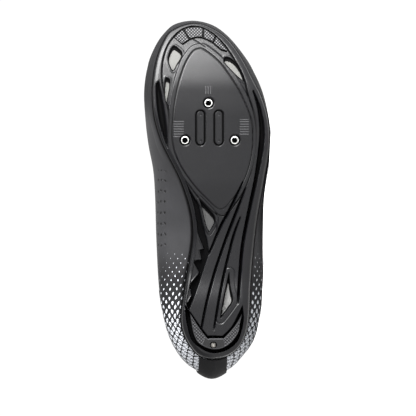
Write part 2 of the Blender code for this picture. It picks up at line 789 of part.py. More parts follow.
def make_outsole():
    """Stiff moulded sole with its hollows, grooves, windows and bolt holes."""
    bm = bmesh.new()
    rings = [[bm.verts.new(p) for p in sole_loop(up, inward)] for up, inward in SOLE_SIDE]
    for low, high in zip(rings, rings[1:]):
        for i in range(LOOP_STEPS):
            j = (i + 1) % LOOP_STEPS
            bm.faces.new((low[i], low[j], high[j], high[i]))
    bm.faces.new(rings[0][::-1])
    bm.faces.new(rings[-1])
    bmesh.ops.recalc_face_normals(bm, faces=bm.faces[:])
    mesh = bpy.data.meshes.new("flat_sole")
    bm.to_mesh(mesh)
    bm.free()
    body = add_mesh_object("flat_sole", mesh, CUTTERS)

    below = -OVERCUT
    above = SOLE_THICKNESS + OVERCUT
    cut(body, "cut_floor", [outline(FOREFOOT_FLOOR), outline(CLEAT_LAND)], below, FLOOR_DEPTH)
    cut(body, "cut_tread", [outline(TREAD)], below, FLOOR_DEPTH + TREAD_POCKET_DEPTH)
    cut(body, "cut_hollow", [outline(MEDIAL_HOLLOW)], below, HOLLOW_DEPTH)
    cut(body, "cut_arch", [outline(ARCH_RECESS)], below, ARCH_DEPTH)
    cut(body, "cut_heel", [outline(HEEL_RECESS)], below, HEEL_RECESS_DEPTH)
    for name, (depth, rows) in GROOVES.items():
        cut(body, "cut_groove_" + name, [band(rows)], below, depth)
    for name, runs in WINDOWS.items():
        cut(body, "cut_" + name, [outline(runs, 2)], below, above)
    for name, place in BOLTS.items():
        ring_hole = circle(plan(place), BOLT_RING_RADIUS + GAP)
        cut(body, "cut_bolt_" + name, [ring_hole], below, above)
        counterbore = circle(plan(place), COUNTERBORE_RADIUS)
        cut(body, "cut_counterbore_" + name, [counterbore], below, COUNTERBORE_DEPTH)
    for name, place in SLOTS.items():
        cut(body, "cut_slot_" + name, [stadium(plan(place), SLOT_LENGTH, SLOT_WIDTH)], below, SLOT_DEPTH)
    return finish_flat(body, "outsole", "sole_nylon")


def make_toe_tread():
    """Rubber tread round the toe, split into four fields."""
    bottom = -TREAD_STANDS_OUT
    top = FLOOR_DEPTH + TREAD_POCKET_DEPTH - GAP
    block = prism("flat_tread", [inset(outline(TREAD), SOFT_GAP)], bottom, top)
    body = add_mesh_object("flat_tread", block, CUTTERS)
    for i, (start, end) in enumerate(TREAD_SPLITS):
        a, b = plan(start), plan(end)
        across = (b - a).orthogonal().normalized() * TREAD_SPLIT / 2
        corners = [a - across, b - across, b + across, a + across]
        cut(body, f"cut_split_{i}", [corners], bottom - OVERCUT, FLOOR_DEPTH)
    return finish_flat(body, "toe_tread", "tread_rubber")


def make_heel_pad():
    """Rubber pad under the heel and the screw that holds it."""
    centre = plan(SCREW_PLACE)
    bottom = -underside(centre.x)
    top = HEEL_RECESS_DEPTH - flat_height(centre.x, GAP)
    body = add_mesh_object("flat_pad", prism("flat_pad", [outline(HEEL_PAD)], bottom, top), CUTTERS)
    screw_hole = circle(centre, SCREW_RADIUS + GAP, 16)
    cut(body, "cut_screw", [screw_hole], bottom - OVERCUT, HEEL_RECESS_DEPTH + OVERCUT)
    finish_flat(body, "heel_pad", "pad_rubber")
    low = bottom + SCREW_SUNK
    screw = prism("heel_screw", [circle(centre, SCREW_RADIUS, 16)], low, low + SCREW_LENGTH)
    add_piece("heel_screw", bend(screw), "ring_steel")


def make_cleat_fixing():
    """Threaded rings for the cleat bolts and the two inserts between them."""
    for name, place in BOLTS.items():
        rings = [circle(plan(place), BOLT_RING_RADIUS), circle(plan(place), BOLT_HOLE_RADIUS, 16)]
        ring = prism("cleat_ring_" + name, rings, BOLT_RING_SUNK, BOLT_RING_SUNK + BOLT_RING_LENGTH)
        add_piece("cleat_ring_" + name, bend(ring), "ring_steel")
    for name, place in SLOTS.items():
        slot = stadium(plan(place), SLOT_LENGTH - 2 * SLOT_GAP, SLOT_WIDTH - 2 * SLOT_GAP)
        insert = prism("slot_insert_" + name, [slot], 0.0, SLOT_DEPTH - GAP)
        add_piece("slot_insert_" + name, bend(insert), "sole_nylon")


def make_vent_meshes():
    """Mesh panels set into the windows of the sole."""
    for name, runs in WINDOWS.items():
        line = outline(runs, 2)
        panel = prism(name, [inset(line, GAP)], MESH_DEPTH, MESH_DEPTH + MESH_THICKNESS)
        add_piece(name, bend(panel), "vent_mesh")


def make_upper(surface):
    """Hollow upper, open at the collar, at the throat and underneath."""
    side = round_toe(upper_columns())
    turns = [-u for u in reversed(side)] + side[1:]
    points = [[surface.point(turn, row) for turn in turns] for row in ROWS]
    return shell("upper", points, UPPER_WALL, -1.0, "upper_fabric")


def make_heel_strip(surface):
    """Smooth strip up the middle of the heel, on the upper."""
    side = upper_columns()[:3]
    turns = [-u for u in reversed(side)] + side[1:]
    points = [[surface.off(turn, row, GAP) for turn in turns] for row in ROWS[:-1]]
    return shell("heel_strip", points, HEEL_STRIP_THICKNESS, 1.0, "heel_strip")


def bridge(surface, turn, distance, crown):
    """Points across the open throat, from the inner rim to the outer rim."""
    start = surface.off(-turn, 3.0, distance)
    end = surface.off(turn, 3.0, distance)
    width = (end - start).length
    points = []
    for i in range(1, BRIDGE_STEPS):
        t = i / BRIDGE_STEPS
        points.append(start.lerp(end, t) + Vector((0, 0, crown * width * 4 * t * (1 - t))))
    return points


def make_tongue(surface):
    """Padded tongue under the throat, standing a little out of the collar."""
    columns = upper_columns()
    inside = -(UPPER_WALL + TONGUE_GAP)
    lines = []
    for turn in columns[THROAT_TOP_COLUMN:-2]:
        line = [surface.off(-turn, 2.7, inside), surface.off(-turn, 3.0, inside)]
        line += bridge(surface, turn, inside, TONGUE_CROWN)
        line += [surface.off(turn, 3.0, inside), surface.off(turn, 2.7, inside)]
        lines.append(line)
    outward = (lines[0][3] - lines[1][3]).normalized() * TONGUE_STANDS_OUT
    lines.insert(0, [p + outward for p in lines[0]])
    forward = (lines[-1][3] - lines[-2][3]).normalized() * TONGUE_TUCKED_IN
    forward.z -= TONGUE_TOE_DROP
    middle = lines[-1][3]
    lines.append([middle + (p - middle) * TONGUE_TOE_TAPER + forward for p in lines[-1]])
    return shell("tongue", lines, TONGUE_THICKNESS, -1.0, "tongue_fabric")


def make_insole():
    """Insole on top of the sole, inside the upper."""
    edge = [p.xy for p in sole_loop(1.0, 0.0)]
    line = inset(edge, UPPER_WALL + 2 * SOFT_GAP)
    low = SOLE_THICKNESS + GAP
    mesh = prism("insole", [line], low, low + INSOLE_THICKNESS)
    return add_piece("insole", bend(mesh), "insole_foam")


def make_straps(surface):
    """Hook and loop straps across the instep."""
    columns = upper_columns()
    for name, first, last, outer_row, inner_row in STRAPS:
        lines = []
        inner = [3 - (3 - inner_row) * i / STRAP_STEPS for i in range(STRAP_STEPS + 1)]
        outer = [3 - (3 - outer_row) * i / STRAP_STEPS for i in range(STRAP_STEPS + 1)]
        count = 2 * (last - first)
        for k in range(count + 1):
            turn = columns[first] + (columns[last] - columns[first]) * k / count
            line = [surface.off(STRAP_LEAN * (3 - row) - turn, row, SOFT_GAP) for row in reversed(inner)]
            line += bridge(surface, turn, SOFT_GAP, STRAP_CROWN)
            line += [surface.off(turn - STRAP_LEAN * (3 - row), row, SOFT_GAP) for row in outer]
            lines.append(line)
        shell(name, lines, STRAP_THICKNESS, 1.0, "strap_webbing")


# Lying down


def mass_centre():
    """Centre of mass of the standing shoe."""
    total = Vector()
    mass = 0.0
    for obj in PIECES.objects:
        bm = bmesh.new()
        bm.from_mesh(obj.data)
        bmesh.ops.triangulate(bm, faces=bm.faces[:])
        for face in bm.faces:
            a, b, c = (v.co for v in face.verts)
            part = a.dot(b.cross(c)) / 6 * obj["density"]
            total += part * (a + b + c) / 4
            mass += part
        bm.free()
    return total / mass


def resting_matrix():
    """Turn that lays the shoe on its outer side, on the face of its hull under its weight."""
    side_down = Matrix.Rotation(-math.pi / 2, 4, "X")
    bm = bmesh.new()
    for obj in PIECES.objects:
        for vert in obj.data.vertices:
            bm.verts.new(side_down @ vert.co)
    bmesh.ops.convex_hull(bm, input=bm.verts[:])
    centre = side_down @ mass_centre()
    below = Vector((0, 0, 0))
    for face in bm.faces:
        if face.normal.z > below.z:
            continue
        height = (centre - face.verts[0].co).dot(face.normal)
        foot = centre - height * face.normal
        corners = [v.co for v in face.verts]
        turns = [(b - a).cross(foot - a).dot(face.normal) for a, b in zip(corners, corners[1:] + corners[:1])]
        if min(turns) >= 0:
            below = face.normal.copy()
    bm.free()
    level = below.rotation_difference(Vector((0, 0, -1))).to_matrix().to_4x4()
    turn = level @ side_down
    places = [turn @ v.co for obj in PIECES.objects for v in obj.data.vertices]
    low = Vector(min(p[k] for p in places) for k in range(3))
    high = Vector(max(p[k] for p in places) for k in range(3))
    shift = Matrix.Translation((-(low.x + high.x) / 2, -(low.y + high.y) / 2, -low.z))
    return shift @ turn


clear_scene()
PIECES = new_collection("cycling_shoe")
CUTTERS = new_collection("shoe_cutters")
SLOTS_OF_MATERIAL = {name: new_material(name) for name in MATERIALS}

SURFACE = UpperSurface()
make_outsole()
make_upper(SURFACE)
make_insole()
make_tongue(SURFACE)
make_heel_strip(SURFACE)
make_toe_tread()
make_heel_pad()
make_cleat_fixing()
make_vent_meshes()
make_straps(SURFACE)

AXES = bpy.data.objects.new("shoe_axes", None)
bpy.context.scene.collection.objects.link(AXES)
for piece in list(PIECES.objects):
    piece.parent = AXES
AXES.matrix_world = resting_matrix()
bpy.context.view_layer.update()
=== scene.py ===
"""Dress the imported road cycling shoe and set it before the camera.

The shoe lies on its outer side, as its solids do. Its pieces are shaped in the shoe's own
frame, x from heel to toe, y towards the outer side and z up from the sole, in metres, and
laid down with one matrix at the end.
"""
from __future__ import annotations

import json
import logging
import math
from dataclasses import dataclass, field
from enum import Enum
from typing import Callable, Sequence

import bmesh
import bpy
import numpy as np
from mathutils import Matrix, Vector

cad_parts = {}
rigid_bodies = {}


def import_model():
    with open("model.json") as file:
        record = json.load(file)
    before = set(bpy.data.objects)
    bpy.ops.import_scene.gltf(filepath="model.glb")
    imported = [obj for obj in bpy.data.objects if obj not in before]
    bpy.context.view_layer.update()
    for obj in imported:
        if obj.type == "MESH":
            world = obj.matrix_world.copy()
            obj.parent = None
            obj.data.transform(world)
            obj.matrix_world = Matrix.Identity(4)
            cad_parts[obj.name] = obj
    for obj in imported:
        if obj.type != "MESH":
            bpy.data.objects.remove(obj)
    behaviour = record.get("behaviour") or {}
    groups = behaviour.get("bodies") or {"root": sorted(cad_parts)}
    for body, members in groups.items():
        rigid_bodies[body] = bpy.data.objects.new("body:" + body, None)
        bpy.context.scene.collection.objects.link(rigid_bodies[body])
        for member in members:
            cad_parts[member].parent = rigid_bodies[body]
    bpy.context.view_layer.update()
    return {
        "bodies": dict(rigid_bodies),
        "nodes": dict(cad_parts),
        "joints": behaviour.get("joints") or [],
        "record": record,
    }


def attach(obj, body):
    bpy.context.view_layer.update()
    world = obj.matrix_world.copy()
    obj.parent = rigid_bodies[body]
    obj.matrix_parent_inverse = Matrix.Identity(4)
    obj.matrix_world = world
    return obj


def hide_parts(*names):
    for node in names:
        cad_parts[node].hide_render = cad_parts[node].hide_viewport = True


LOG = logging.getLogger("shoe")
Grid = np.ndarray
Row = Sequence[float]
Colour = tuple[float, float, float]
Place = Callable[[Grid, Grid], Grid]

# How the shoe lies: its own axes and origin in the frame of the solids
LYING = Matrix((
    (0.998646, 0.051981, -0.001857, -0.143764),
    (-0.001857, 0.071307, 0.997453, -0.049626),
    (0.051981, -0.996099, 0.071307, 0.038785),
    (0.0, 0.0, 0.0, 1.0),
))

# Sizes of the last and the sole
LENGTH = 0.290
BALL_WIDTH = 0.102
HEEL_SEAT = 0.021
TOE_SPRING = 0.022
SOLE_THICKNESS = 0.0075
UPPER_WALL = 0.0022
HEEL_STRIP_WIDTH = 0.021
GAP = 0.0003
SOFT_GAP = 0.0005

# Underside and thickness of the sole
# columns: share of length, height of the underside, thickness
SOLE_CURVE = [
    (-0.04, 0.20 * HEEL_SEAT, 0.80 * HEEL_SEAT),
    (0.20, 0.20 * HEEL_SEAT, 0.80 * HEEL_SEAT),
    (0.30, 0.42 * HEEL_SEAT, 0.50 * HEEL_SEAT),
    (0.38, 0.40 * HEEL_SEAT, 0.36 * HEEL_SEAT),
    (0.48, 0.16 * HEEL_SEAT, SOLE_THICKNESS),
    (0.56, 0.0, SOLE_THICKNESS),
    (0.72, 0.0, SOLE_THICKNESS),
    (0.80, 0.08 * TOE_SPRING, SOLE_THICKNESS),
    (0.87, 0.28 * TOE_SPRING, 0.95 * SOLE_THICKNESS),
    (0.94, 0.62 * TOE_SPRING, 0.88 * SOLE_THICKNESS),
    (1.04, 1.25 * TOE_SPRING, 0.80 * SOLE_THICKNESS),
]
# Height of the upper above the sole
# columns: share of length, height
BODY_HEIGHT = [(-0.04, 0.058), (0.10, 0.058), (0.42, 0.082), (0.72, 0.056), (0.93, 0.034), (1.04, 0.034)]

# Loops round the last, each with its heel and toe points and rows along both sides
# columns: share of length, inner side, outer side (shares of the ball width), share of height
SOLE_EDGE = (
    (0.054, 0.040, 0.0), (0.992, -0.106, 0.0),
    [(0.062, -0.070, 0.150), (0.085, -0.140, 0.240), (0.125, -0.203, 0.300), (0.174, -0.224, 0.326),
     (0.250, -0.196, 0.337), (0.320, -0.160, 0.350), (0.385, -0.131, 0.367), (0.438, -0.135, 0.384),
     (0.481, -0.160, 0.402), (0.524, -0.200, 0.424), (0.566, -0.249, 0.444), (0.620, -0.328, 0.472),
     (0.665, -0.388, 0.485), (0.726, -0.438, 0.466), (0.783, -0.453, 0.417), (0.830, -0.447, 0.351),
     (0.887, -0.418, 0.270), (0.938, -0.362, 0.173), (0.972, -0.285, 0.060)],
)
WIDEST = (
    (0.0, 0.040, 0.34), (1.0, -0.113, 0.36),
    [(0.022, -0.099, 0.179, 0.34), (0.059, -0.209, 0.282, 0.32), (0.103, -0.286, 0.369, 0.28),
     (0.159, -0.338, 0.412, 0.24), (0.250, -0.383, 0.446, 0.23), (0.386, -0.403, 0.449, 0.30),
     (0.500, -0.412, 0.457, 0.40), (0.580, -0.428, 0.487, 0.46), (0.652, -0.467, 0.503, 0.50),
     (0.720, -0.492, 0.493, 0.48), (0.800, -0.505, 0.438, 0.44), (0.870, -0.477, 0.345, 0.40),
     (0.930, -0.408, 0.228, 0.38), (0.969, -0.328, 0.123, 0.36), (0.991, -0.247, 0.020, 0.36)],
)
SHOULDER = (
    (0.012, 0.040, 0.74), (0.957, -0.120, 0.88),
    [(0.030, -0.120, 0.200, 0.73), (0.080, -0.235, 0.312, 0.68), (0.180, -0.318, 0.385, 0.58),
     (0.280, -0.345, 0.395, 0.58), (0.380, -0.352, 0.382, 0.71), (0.480, -0.356, 0.360, 0.79),
     (0.580, -0.358, 0.360, 0.82), (0.680, -0.366, 0.345, 0.82), (0.760, -0.378, 0.308, 0.84),
     (0.840, -0.360, 0.220, 0.86), (0.900, -0.310, 0.125, 0.88), (0.940, -0.235, 0.030, 0.88)],
)
RIM = (
    (0.030, 0.035, 1.0), (0.715, -0.030, 1.0),
    [(0.050, -0.090, 0.160, 0.99), (0.100, -0.180, 0.250, 0.92), (0.180, -0.245, 0.310, 0.82),
     (0.260, -0.265, 0.310, 0.80), (0.340, -0.245, 0.265, 0.89), (0.410, -0.215, 0.200, 1.0),
     (0.500, -0.190, 0.155, 1.0), (0.600, -0.155, 0.105, 1.0), (0.680, -0.110, 0.050, 1.0)],
)
# How far the underside lies inside the edge
# columns: share of length, inner side, outer side
SIDE_INSET = [
    (-0.04, 0.0050, 0.0050), (0.20, 0.0040, 0.0070), (0.45, 0.0035, 0.0090), (0.62, 0.0035, 0.0085),
    (0.75, 0.0040, 0.0060), (0.85, 0.0040, 0.0045), (1.04, 0.0035, 0.0035),
]

# Outlines on the underside, in shares of length and ball width
CLEAT_LAND = [
    [(0.473, 0.085), (0.500, 0.180), (0.545, 0.262), (0.600, 0.318), (0.660, 0.340), (0.720, 0.327),
     (0.780, 0.262), (0.832, 0.181), (0.880, 0.085), (0.912, -0.020), (0.918, -0.072), (0.908, -0.130),
     (0.870, -0.196), (0.810, -0.250), (0.740, -0.284), (0.660, -0.294), (0.601, -0.241),
     (0.548, -0.145), (0.505, -0.035)],
]
FOREFOOT_FLOOR = [
    [(0.452, 0.100), (0.490, 0.215), (0.545, 0.300), (0.610, 0.350), (0.680, 0.368), (0.735, 0.352),
     (0.790, 0.305), (0.835, 0.275), (0.880, 0.215), (0.925, 0.135), (0.962, 0.035), (0.978, -0.060),
     (0.982, -0.130), (0.972, -0.210), (0.950, -0.280), (0.920, -0.335), (0.880, -0.368),
     (0.830, -0.374), (0.785, -0.352), (0.735, -0.322), (0.665, -0.318), (0.601, -0.268),
     (0.540, -0.165), (0.490, -0.050)],
]
ARCH_FACETS = [
    [(0.440, -0.300), (0.440, -0.116)], [(0.440, -0.116), (0.406, -0.088), (0.361, -0.037)],
    [(0.361, -0.037), (0.359, -0.073)], [(0.359, -0.073), (0.331, -0.055)], [(0.331, -0.055), (0.329, -0.125)],
    [(0.329, -0.125), (0.295, -0.073)], [(0.295, -0.073), (0.260, -0.155)], [(0.260, -0.155), (0.232, -0.134)],
    [(0.232, -0.134), (0.212, -0.168)], [(0.212, -0.168), (0.212, -0.300)], [(0.212, -0.300), (0.440, -0.300)],
]
ARCH_ISLAND = [
    [(0.507, -0.098), (0.472, -0.080), (0.427, -0.050), (0.391, -0.020), (0.352, 0.002), (0.378, 0.036),
     (0.405, 0.080), (0.434, 0.075), (0.460, 0.050), (0.485, 0.000)],
]
MEDIAL_HOLLOW = [
    [(0.828, -0.394), (0.815, -0.424), (0.764, -0.420), (0.716, -0.400), (0.671, -0.366), (0.632, -0.326)],
    [(0.632, -0.326), (0.680, -0.330), (0.727, -0.345), (0.778, -0.368), (0.828, -0.394)],
]
ARCH_RECESS = [
    [(0.555, -0.196), (0.512, -0.132), (0.475, -0.055), (0.440, 0.052), (0.405, 0.068)],
    [(0.405, 0.068), (0.338, -0.010), (0.283, -0.062), (0.229, -0.118), (0.192, -0.158)],
    [(0.192, -0.158), (0.215, -0.182), (0.260, -0.156), (0.320, -0.122), (0.385, -0.094),
     (0.430, -0.098), (0.480, -0.124), (0.520, -0.160), (0.555, -0.196)],
]
TREAD_OUTER = [
    (0.952, -0.272), (0.973, -0.207), (0.981, -0.113), (0.976, -0.037), (0.956, 0.052), (0.934, 0.110),
    (0.919, 0.146),
]
TREAD_INNER = [
    (0.930, -0.203), (0.945, -0.134), (0.949, -0.064), (0.937, 0.020), (0.922, 0.072), (0.914, 0.100),
    (0.910, 0.140),
]
TREAD_SPLITS = [
    ((0.979, -0.214), (0.940, -0.141)), ((0.986, -0.037), (0.940, -0.047)), ((0.960, 0.064), (0.932, 0.033)),
]
# The fine seam beside the toe tread, with its width in millimetres
TREAD_SEAM = [(0.945, -0.119, 0.7), (0.934, -0.070, 0.7), (0.923, -0.024, 0.5)]
WINDOWS = [
    [[(0.925, -0.276), (0.918, -0.240), (0.908, -0.213), (0.895, -0.216), (0.874, -0.252), (0.855, -0.284),
      (0.872, -0.312), (0.890, -0.322), (0.912, -0.305)]],
    [[(0.836, -0.344), (0.832, -0.316), (0.820, -0.308), (0.790, -0.322), (0.764, -0.340)],
     [(0.764, -0.340), (0.790, -0.353), (0.815, -0.352), (0.836, -0.344)]],
    [[(0.880, 0.118), (0.893, 0.125), (0.891, 0.169), (0.876, 0.218), (0.852, 0.256), (0.823, 0.283)],
     [(0.823, 0.283), (0.844, 0.212), (0.880, 0.118)]],
    [[(0.499, -0.079), (0.474, -0.010), (0.455, 0.036), (0.440, 0.046), (0.425, 0.030), (0.408, 0.002)],
     [(0.408, 0.002), (0.431, -0.028), (0.481, -0.062), (0.499, -0.079)]],
    [[(0.295, 0.158), (0.255, 0.168), (0.226, 0.184), (0.210, 0.174), (0.170, 0.088)],
     [(0.170, 0.088), (0.213, 0.107), (0.267, 0.141), (0.295, 0.158)]],
]
HEEL_RECESS = [
    [(0.205, -0.188), (0.174, -0.186), (0.113, -0.143), (0.089, -0.070), (0.077, -0.006),
     (0.074, 0.059), (0.083, 0.145), (0.104, 0.219), (0.135, 0.255), (0.170, 0.272), (0.205, 0.262)],
    [(0.205, 0.262), (0.150, 0.186), (0.121, 0.110)],
    [(0.121, 0.110), (0.120, -0.014)],
    [(0.120, -0.014), (0.150, -0.080), (0.205, -0.188)],
]
PAD_OUTER = [
    (0.185, -0.154), (0.150, -0.138), (0.125, -0.122), (0.103, -0.090), (0.089, -0.026), (0.084, 0.040),
    (0.088, 0.105), (0.103, 0.170), (0.130, 0.226), (0.153, 0.238), (0.180, 0.256),
]
PAD_INNER = [
    (0.185, -0.154), (0.148, -0.088), (0.116, -0.018), (0.115, 0.010), (0.115, 0.098), (0.117, 0.120),
    (0.150, 0.204), (0.180, 0.256),
]
# Long grooves: depth, then share of length, share of ball width, width in millimetres
GROOVES = [
    (0.0042, [(0.800, 0.345, 0.3), (0.750, 0.392, 2.4), (0.690, 0.414, 3.6), (0.636, 0.404, 3.6),
              (0.560, 0.368, 2.5), (0.478, 0.320, 2.1), (0.374, 0.266, 1.9), (0.290, 0.244, 1.7),
              (0.205, 0.226, 1.3)]),
    (0.0030, [(0.548, 0.262, 0.3), (0.500, 0.200, 1.4), (0.455, 0.138, 1.6), (0.434, 0.104, 1.6),
              (0.400, 0.060, 1.6), (0.372, 0.028, 1.5), (0.348, -0.002, 1.2)]),
    (0.0030, [(0.531, 0.284, 0.3), (0.490, 0.240, 1.2), (0.445, 0.192, 1.5), (0.394, 0.138, 1.5),
              (0.305, 0.052, 1.5), (0.218, -0.018, 1.4), (0.150, -0.058, 1.0), (0.126, -0.068, 0.6)]),
    (0.0030, [(0.450, 0.245, 0.3), (0.404, 0.198, 1.2), (0.344, 0.154, 1.35), (0.291, 0.118, 1.35),
              (0.229, 0.082, 1.30), (0.150, 0.042, 0.9), (0.128, 0.034, 0.6)]),
]
BOLTS = {"front": (0.766, -0.008), "inner": (0.663, -0.193), "outer": (0.663, 0.199)}
SLOTS = {"inner": (0.697, -0.072), "outer": (0.697, 0.072)}
SCREW_PLACE = (0.096, 0.031)
STRAPS = [
    ("strap_toe", 20, 22, 1.9, 2.1),
    ("strap_middle", 17, 19, 1.8, 2.0),
    ("strap_instep", 14, 16, 1.7, 1.9),
]
# Rounding of the sole's edge
# columns: share of the inset, drop at the waist and at the toe as shares of the thickness
BEAD_PROFILE = [(0.0, 0.66, 0.66), (0.16, 0.36, 0.34), (0.33, 0.13, 0.08), (0.66, 0.05, 0.03), (1.0, 0.0, 0.0)]
# Fields of raised lines beside the cleat
# columns: from and to along the sole, from and to across it
TICK_BOXES = [(0.670, 0.716, -0.281, -0.203), (0.675, 0.720, 0.239, 0.309), (0.790, 0.812, -0.030, 0.014)]
MILLIMETRE = 0.001


# Curves and surfaces of the last


def monotone(rows: Sequence[Row], x: Grid, column: int) -> Grid:
    """Smooth values of a table's column that never swing past its rows.

    Args:
        rows: the table, its first column rising.
        x: places in the first column.
        column: which column to read.

    Returns:
        The value at each place.
    """
    keys = np.array([row[0] for row in rows])
    values = np.array([row[column] for row in rows])
    x = np.clip(x, keys[0], keys[-1])
    low = np.clip(np.searchsorted(keys, x, side="right") - 1, 0, len(keys) - 2)
    slopes = np.diff(values) / np.diff(keys)
    before, after = slopes[:-1], slopes[1:]
    total = np.where(before * after > 0, before + after, 1.0)
    inner = np.where(before * after > 0, 2 * before * after / total, 0.0)
    tangents = np.concatenate([slopes[:1], inner, slopes[-1:]])
    span = keys[low + 1] - keys[low]
    t = (x - keys[low]) / span
    start = (1 + 2 * t) * (1 - t) ** 2 * values[low] + t * (1 - t) ** 2 * span * tangents[low]
    end = t * t * (3 - 2 * t) * values[low + 1] + t * t * (t - 1) * span * tangents[low + 1]
    return start + end


def smooth_run(points: Sequence[Row] | Grid, steps: int, closed: bool = False) -> Grid:
    """Smooth curve through points.

    Args:
        points: the points to pass through.
        steps: steps between two neighbours.
        closed: whether the curve runs back to its start.

    Returns:
        The curve's points.
    """
    knots = np.asarray(points, dtype=float)
    count = len(knots)
    first = np.arange(count if closed else count - 1)
    near = [(first + k) % count if closed else np.clip(first + k, 0, count - 1) for k in (-1, 0, 1, 2)]
    p0, p1, p2, p3 = (knots[i][:, None, :] for i in near)
    t = (np.arange(steps) / steps)[None, :, None]
    run = 0.5 * (2 * p1 + (p2 - p0) * t + (2 * p0 - 5 * p1 + 4 * p2 - p3) * t ** 2
                 + (3 * p1 - p0 - 3 * p2 + p3) * t ** 3)
    run = run.reshape(-1, knots.shape[1])
    return run if closed else np.vstack([run, knots[-1:]])


def at_shares(line: Grid, shares: Grid) -> Grid:
    """Points of a polyline at shares of its length."""
    steps = np.linalg.norm(np.diff(line, axis=0), axis=1)
    lengths = np.concatenate([[0.0], np.cumsum(steps)])
    targets = np.clip(shares, 0, 1) * lengths[-1]
    return np.stack([np.interp(targets, lengths, line[:, k]) for k in range(line.shape[1])], axis=-1)


def hermite(start: Grid, leave: Grid, end: Grid, arrive: Grid, t: Grid) -> Grid:
    """Points on curves between two ends with given directions there."""
    return ((1 + 2 * t) * (1 - t) ** 2 * start + t * (1 - t) ** 2 * leave
            + t * t * (3 - 2 * t) * end + t * t * (t - 1) * arrive)


def ramp(x: Grid, low: float, high: float) -> Grid:
    """Soft step from 0 at low to 1 at high."""
    t = np.clip((x - low) / (high - low), 0.0, 1.0)
    return t * t * (3 - 2 * t)


def hump(x: Grid, width: float) -> Grid:
    """Soft bump that is 1 at 0 and falls to 0 at a distance of width."""
    return 1 - ramp(np.abs(x), 0.0, width)


def underside(x: Grid) -> Grid:
    """Height of the sole's underside."""
    return monotone(SOLE_CURVE, x / LENGTH, 1)


def thickness(x: Grid) -> Grid:
    """Thickness of the sole."""
    return monotone(SOLE_CURVE, x / LENGTH, 2)


def bent_height(x: Grid, z: Grid) -> Grid:
    """Height in the shoe of points that are z above the flat underside."""
    inside = underside(x) + np.clip(z, 0, SOLE_THICKNESS) / SOLE_THICKNESS * thickness(x)
    return inside + np.minimum(z, 0) + np.maximum(z - SOLE_THICKNESS, 0)


def plan(points: Sequence[Row]) -> Grid:
    """Table points in metres in the plan of the sole."""
    return np.array([(p[0] * LENGTH, p[1] * BALL_WIDTH) for p in points])


class Outline:
    """Closed outline in the plan of the sole that gives signed distances."""

    def __init__(self, points: Grid) -> None:
        """Keep the outline's points."""
        self.points = points

    @classmethod
    def of_runs(cls, runs: Sequence[Sequence[Row]], steps: int = 8) -> Outline:
        """Outline of smooth runs that meet in corners, or of one smooth loop."""
        if len(runs) == 1:
            return cls(smooth_run(plan(runs[0]), steps, closed=True))
        parts = [smooth_run(plan(run), steps if len(run) > 2 else 1)[:-1] for run in runs]
        return cls(np.vstack(parts))

    @classmethod
    def of_band(cls, rows: Sequence[Row]) -> Outline:
        """Outline of a groove with a width in millimetres at each row."""
        middle = smooth_run([(r[0] * LENGTH, r[1] * BALL_WIDTH, r[2] * MILLIMETRE) for r in rows], 8)
        along = np.gradient(middle[:, :2], axis=0)
        across = np.stack([-along[:, 1], along[:, 0]], axis=-1)
        across *= (middle[:, 2] / 2 / np.linalg.norm(across, axis=1))[:, None]
        return cls(np.vstack([middle[:, :2] + across, (middle[:, :2] - across)[::-1]]))

    @classmethod
    def of_circle(cls, centre: Row, radius: float) -> Outline:
        """Round outline about a table point."""
        turns = np.linspace(0, 2 * math.pi, 48, endpoint=False)
        return cls(plan([centre]) + radius * np.stack([np.cos(turns), np.sin(turns)], axis=-1))

    @classmethod
    def of_slot(cls, centre: Row, length: float, width: float) -> Outline:
        """Outline of a slot with round ends about a table point."""
        turns = np.linspace(-math.pi / 2, math.pi / 2, 13)
        half = np.stack([(length - width) / 2 + np.cos(turns) * width / 2, np.sin(turns) * width / 2], axis=-1)
        return cls(plan([centre]) + np.vstack([half, -half]))

    def depth(self, places: Grid, reach: float = 0.006) -> Grid:
        """Distance inside the outline, negative outside and cut off at the reach.

        Args:
            places: points in the plan.
            reach: how far outside the outline distances are worked out.

        Returns:
            A signed distance for each point.
        """
        low, high = self.points.min(axis=0) - reach, self.points.max(axis=0) + reach
        near = np.flatnonzero(((places > low) & (places < high)).all(axis=1))
        result = np.full(len(places), -reach)
        a, b = self.points, np.roll(self.points, -1, axis=0)
        side = b - a
        square = np.maximum((side ** 2).sum(axis=1), 1e-18)
        for chunk in np.array_split(near, max(1, len(near) // 4000)):
            p = places[chunk][:, None, :]
            t = np.clip(((p - a) * side).sum(axis=2) / square, 0, 1)
            gap = np.linalg.norm(p - a - t[..., None] * side, axis=2).min(axis=1)
            above = (a[:, 1] > p[..., 1]) != (b[:, 1] > p[..., 1])
            rise = np.where(side[:, 1] == 0, 1e-18, side[:, 1])
            crossing = a[:, 0] + (p[..., 1] - a[:, 1]) / rise * side[:, 0]
            inside = (above & (p[..., 0] < crossing)).sum(axis=1) % 2 == 1
            result[chunk] = np.where(inside, gap, -gap)
        return np.maximum(result, -reach)


